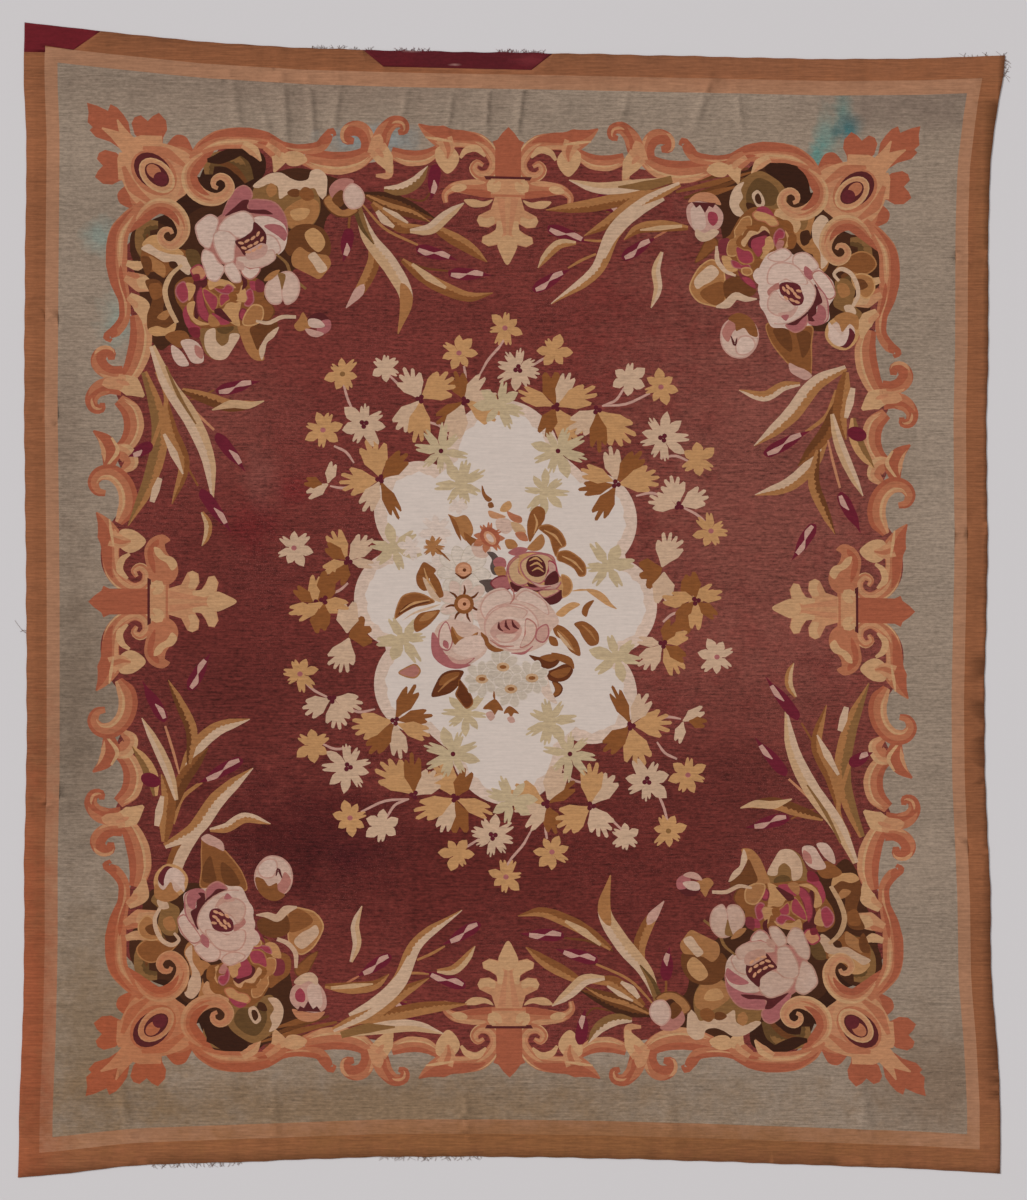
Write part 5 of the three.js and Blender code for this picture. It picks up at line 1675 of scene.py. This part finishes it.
def yarn_material(name, colour):
    finish = FINISH.get(name, PLAIN_FINISH)
    material = bpy.data.materials.new(name.replace("_", " ") + " wool")
    material.use_nodes = True
    material.node_tree.nodes.clear()
    n = Nodes(material.node_tree)
    place = n.add("ShaderNodeTexCoord").outputs["Object"]
    tone = linear(colour)
    for row in finish["stains"]:
        tone = place_group(n, STAIN, Colour=tone, Stain=linear(row["stain"]), Place=place,
            Middle=(*row["middle"], 0.0), Reach=(*row["reach"], 1.0), Strength=row["strength"])["Colour"]
    tone = place_group(n, ABRASH, Colour=tone, Place=place, Bands=finish["bands"], Rows=finish["rows"],
        Mottle=finish["mottle"])["Colour"]
    if finish["wear"]:
        red, green, blue, _ = linear(colour)
        pale = tuple(min(1.0, c * PALE_GAIN + PALE_LIFT) for c in (red, green, blue))
        dark = (red * DARK_RED, green * DARK_REST, blue * DARK_REST)
        tone = place_group(n, WEAR, Colour=tone, Fleck=(*pale, 1.0), Place=place, Amount=finish["wear"])["Colour"]
        tone = place_group(n, WEAR, Colour=tone, Fleck=(*dark, 1.0), Place=n.stretch(place, 0.87, 1.13, -1.0),
            Amount=finish["wear"])["Colour"]
    # The ribs' bump, and the painted shade that darkens their hollows and lightens their crests
    woven = place_group(n, RIBS, Colour=tone, Place=place, Depth=RIB_DEPTH, Tone=RIB_PAINTED_SHADE)
    shader = n.add("ShaderNodeBsdfPrincipled")
    shader.inputs["Roughness"].default_value = WOOL_ROUGHNESS
    shader.inputs["Specular IOR Level"].default_value = WOOL_SHEEN
    n.feed(shader.inputs["Base Color"], woven["Colour"])
    n.feed(shader.inputs["Normal"], woven["Normal"])
    out = n.add("ShaderNodeOutputMaterial")
    n.feed(out.inputs["Surface"], shader.outputs[0])
    return material


# The rug

def partnered(shapes, place, other=None):
    """A bouquet and its half-turned partner, which was woven a little off its place, leaning left above its foot."""
    def turned(o):
        o = np.array([CARTOON_W + place["right"], CARTOON_H + place["low"]]) - o
        o[:, 0] -= place["lean"] * np.clip(place["foot"] - o[:, 1], 0, None)
        return o
    return shapes + each(other or shapes, turned)


LEFT_TURN, LEFT_REEDS_TURN, RIGHT_TURN, RIGHT_REEDS_TURN = table("right low lean foot", (3, 4, 0.055, 1000),
    (5, 4, 0.06, 1000), (2, 9, 0.0, 0), (2, 9, 0.045, 900))
PEONY_ASIDE = 10  # the lower left peony was woven this much further left


# The bands of the border: how far in from the top, right, bottom and left each begins, in warps
BANDS = {"tan": (0.5, 0.5, 0.5, 0.5), "tan_pale": (22, 20.5, 23, 20.5), "sage": (36.5, 33, 37.5, 33.5)}


def design():
    """Every area of yarn, the lowest first."""
    s = [(band_ring(insets), yarn) for yarn, insets in BANDS.items()]
    s += each(ground() + four_fold(corner_ground()), pulled)
    s += partnered(shade_left(), LEFT_TURN) + partnered(shade_right(), RIGHT_TURN)
    s += each(scroll_frame(), pulled)
    s += partnered(reeds_left(), LEFT_REEDS_TURN) + partnered(bouquet_left(), LEFT_TURN)
    s += ribbon([(212, 812), (192, 834), (180, 852), (171, 876)], [1, 7.5, 9, 8],
        [(-1, 1, "gold_dark"), (-0.3, 1, "cream_leaf")])
    s += partnered(reeds_right(), RIGHT_REEDS_TURN)
    s += partnered(bouquet_right(), RIGHT_TURN, bouquet_right(PEONY_ASIDE))
    s += each(four_fold(volutes()), pulled)
    s += medallion() + half_turn(star_ring()) + middle_bouquet()
    return each(s, thinned)


def main_rug():
    names = list(YARNS)
    materials = [yarn_material(name, YARNS[name]) for name in names]
    shapes = [(o, names.index(yarn)) for o, yarn in design()]
    outline = to_cartoon(rug_outline())
    holes = [to_cartoon(np.array(CORNER_OPENING)), to_cartoon(np.array(EDGE_OPENING))]
    xs, ys = np.meshgrid(np.arange(GRID_START, GRID_RIGHT, RUG_GRID), np.arange(GRID_START, GRID_FOOT, RUG_GRID))
    grid = np.stack([xs.ravel() + GRID_JOG[0] * np.sin(ys.ravel()), ys.ravel() + GRID_JOG[1]], 1)
    verts, faces, yarn = weave_plan(shapes, outline, holes, np.vstack([grid, crease_points()]))
    return closed_sheet("rug_cloth", verts, faces, yarn, RUG_THICK, materials)


def ring_inset(ring, distance):
    """A clockwise ring of points moved inwards by a distance."""
    p = np.array(ring)
    way = np.roll(p, -1, axis=0) - p
    way /= np.linalg.norm(way, axis=1, keepdims=True)
    shift = np.stack([way[:, 1], -way[:, 0]], 1) * distance
    out = []
    for i in range(len(p)):
        a, b = p[i - 1] + shift[i - 1], p[i] + shift[i]
        d = b - a
        t = (d[0] * way[i][1] - d[1] * way[i][0]) / (way[i - 1][0] * way[i][1] - way[i - 1][1] * way[i][0])
        out.append(a + way[i - 1] * t)
    return np.array(out)


def patch(name, opening, material):
    """An inserted piece: the part of its opening inside the rug's edge, less the join's gap."""
    outline = to_cartoon(rug_outline())
    ring = to_cartoon(ring_inset(opening, JOIN_GAP))
    low, high = ring.min(axis=0), ring.max(axis=0)
    xs, ys = np.meshgrid(np.arange(low[0], high[0], PATCH_GRID), np.arange(low[1], high[1], PATCH_GRID))
    points, edges = ring_edges([outline, ring])
    points += [(x + 0.3, y + 0.2) for x, y in zip(xs.ravel(), ys.ravel())]
    verts, faces = triangulated(points, edges)
    middle = verts[faces].mean(axis=1)
    faces = faces[inside(middle, outline) & inside(middle, ring)]
    return closed_sheet(name, verts, faces, np.zeros(len(faces), int), PATCH_THICK, [material])


# Loose warp ends: side (0 top, 1 right, 2 bottom, 3 left), where along it (metres), how many and how long
RUG_FRAYS = table(
    "side start end count long",
    (0, 0.88, 1.06, 40, 0.010), (0, 2.84, 2.96, 12, 0.010), (1, 0.11, 0.17, 14, 0.016), (2, 2.29, 2.56, 50, 0.012),
    (2, 1.57, 1.87, 52, 0.011), (3, 1.630, 1.642, 3, 0.026))
PATCH_FRAYS = table("side start end count long", (0, 1.13, 1.24, 40, 0.009), (0, 1.44, 1.58, 60, 0.010))
OUTWARD = [(0, 1), (1, 0), (0, -1), (-1, 0)]
THREAD_RADIUS, THREAD_ROOT, THREAD_SIDES, THREAD_STEPS = 0.0006, 0.002, 3, 6
# How a thread's length varies, and how far it leans and curls, in its own lengths
THREAD_LONG, THREAD_LEAN, THREAD_CURL = (0.4, 1.5), 0.7, 1.2


def edge_at(side, along):
    """The point of the rug's edge at a distance along one of its sides."""
    table, place = SIDES[side]
    line = smooth(table, False, EDGE_STEP)
    first, length = table[0][0], table[-1][0] - table[0][0]
    inward = np.interp(along, line[:, 0], line[:, 1]) + waver(along - first, length)
    return np.array(place(along, max(float(inward), 0.0)))


def loose_threads(name, frays, material):
    """Broken ends that stick out of the edge and curl down to the floor."""
    verts, faces, around, steps = [], [], THREAD_SIDES, THREAD_STEPS
    for row in frays:
        out = np.array(OUTWARD[row["side"]], float)
        beside = np.array([out[1], -out[0]])
        for k in range(row["count"]):
            along = rng.uniform(row["start"], row["end"])
            root = edge_at(row["side"], along) - out * THREAD_ROOT
            long = row["long"] * rng.uniform(*THREAD_LONG)
            lean, curl = rng.uniform(-THREAD_LEAN, THREAD_LEAN), rng.uniform(-THREAD_CURL, THREAD_CURL)
            base = len(verts)
            for i in range(steps + 1):
                t = i / steps
                mid = root + (out * t + beside * (lean * t + curl * t * t)) * long
                z = THREAD_RADIUS + RUG_THICK * 0.6 * (1 - t) ** 2
                for j in range(around):
                    a = 2 * math.pi * j / around
                    ring = beside * math.cos(a) * THREAD_RADIUS
                    verts.append((*(mid + ring), z + THREAD_RADIUS * math.sin(a)))
            for i in range(steps):
                for j in range(around):
                    p, q = base + i * around + j, base + i * around + (j + 1) % around
                    faces.append((p, q, q + around, p + around))
            faces.append(tuple(base + j for j in reversed(range(around))))
            faces.append(tuple(base + steps * around + j for j in range(around)))
    mesh = bpy.data.meshes.new(name)
    mesh.from_pydata(verts, [], faces)
    mesh.materials.append(material)
    mesh.update()
    return in_scene(name, mesh)


# The view: straight down, over a point a little right of the rug's middle
VIEW_HEIGHT, VIEW_X, VIEW_HIGH = 8.0, 513.5, 1200
SENSOR = 36.0
# The floor's half width and its drop below the cloth, the lights and the spread of their beams (degrees)
FLOOR_HALF, FLOOR_GAP, FLOOR_COLOUR, FLOOR_ROUGHNESS = 9.0, 0.0005, (201, 197, 198), 0.9
LIGHTS = table(
    "name place strength",
    ("key light", (-0.70, 0.36, 0.62), 2.45), ("fill light", (0.30, -0.34, 0.89), 0.58))
LIGHT_SPREAD, LIGHT_AWAY, SKY_STRENGTH = 16, 6, 0.345


def set_up_camera():
    data = bpy.data.cameras.new("camera")
    data.sensor_width = SENSOR
    data.lens = SENSOR * VIEW_HEIGHT / (VIEW_HIGH * WARP)
    camera = in_scene("camera", data)
    camera.location = ((VIEW_X - RUG_MID_X) * WARP, 0.0, VIEW_HEIGHT + RUG_THICK)
    bpy.context.scene.camera = camera


def studio():
    mesh = bpy.data.meshes.new("floor")
    corners = [(x * FLOOR_HALF, y * FLOOR_HALF, 0) for x, y in ((-1, -1), (1, -1), (1, 1), (-1, 1))]
    mesh.from_pydata(corners, [], [(0, 1, 2, 3)])
    floor = in_scene("floor", mesh)
    floor.location = (0, 0, -FLOOR_GAP)
    material = bpy.data.materials.new("pale floor")
    material.use_nodes = True
    shader = material.node_tree.nodes["Principled BSDF"]
    shader.inputs["Base Color"].default_value = linear(FLOOR_COLOUR)
    shader.inputs["Roughness"].default_value = FLOOR_ROUGHNESS
    mesh.materials.append(material)
    for light in LIGHTS:
        data = bpy.data.lights.new(light["name"], "SUN")
        data.angle = math.radians(LIGHT_SPREAD)
        data.energy = light["strength"]
        lamp = in_scene(light["name"], data)
        place = Vector(light["place"])
        lamp.location = place * LIGHT_AWAY
        lamp.rotation_euler = (-place).to_track_quat("-Z", "Y").to_euler()
    world = bpy.data.worlds.new("studio")
    world.use_nodes = True
    sky = world.node_tree.nodes["Background"]
    sky.inputs["Color"].default_value = (1, 1, 1, 1)
    sky.inputs["Strength"].default_value = SKY_STRENGTH
    bpy.context.scene.world = world
    bpy.context.scene.view_settings.view_transform = "Standard"


set_up_camera()
studio()
rug, rug_area = main_rug()
patch_red = yarn_material("patch red", PATCH_RED)
corner_piece, corner_area = patch("corner_patch_cloth", CORNER_OPENING, patch_red)
edge_piece, edge_area = patch("edge_patch_cloth", EDGE_OPENING, patch_red)
rug_threads = loose_threads("rug_loose_threads", RUG_FRAYS, yarn_material("bare warp", BARE_WARP))
patch_threads = loose_threads("patch_loose_threads", PATCH_FRAYS, yarn_material("patch thread", PATCH_THREAD))
for obj, slot in ((rug, "rug_wool"), (rug_threads, "rug_wool"), (corner_piece, "patch_cloth"),
                  (edge_piece, "patch_cloth"), (patch_threads, "patch_cloth")):
    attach(obj, "root")
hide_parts("rug")
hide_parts("corner_patch")
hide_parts("edge_patch")
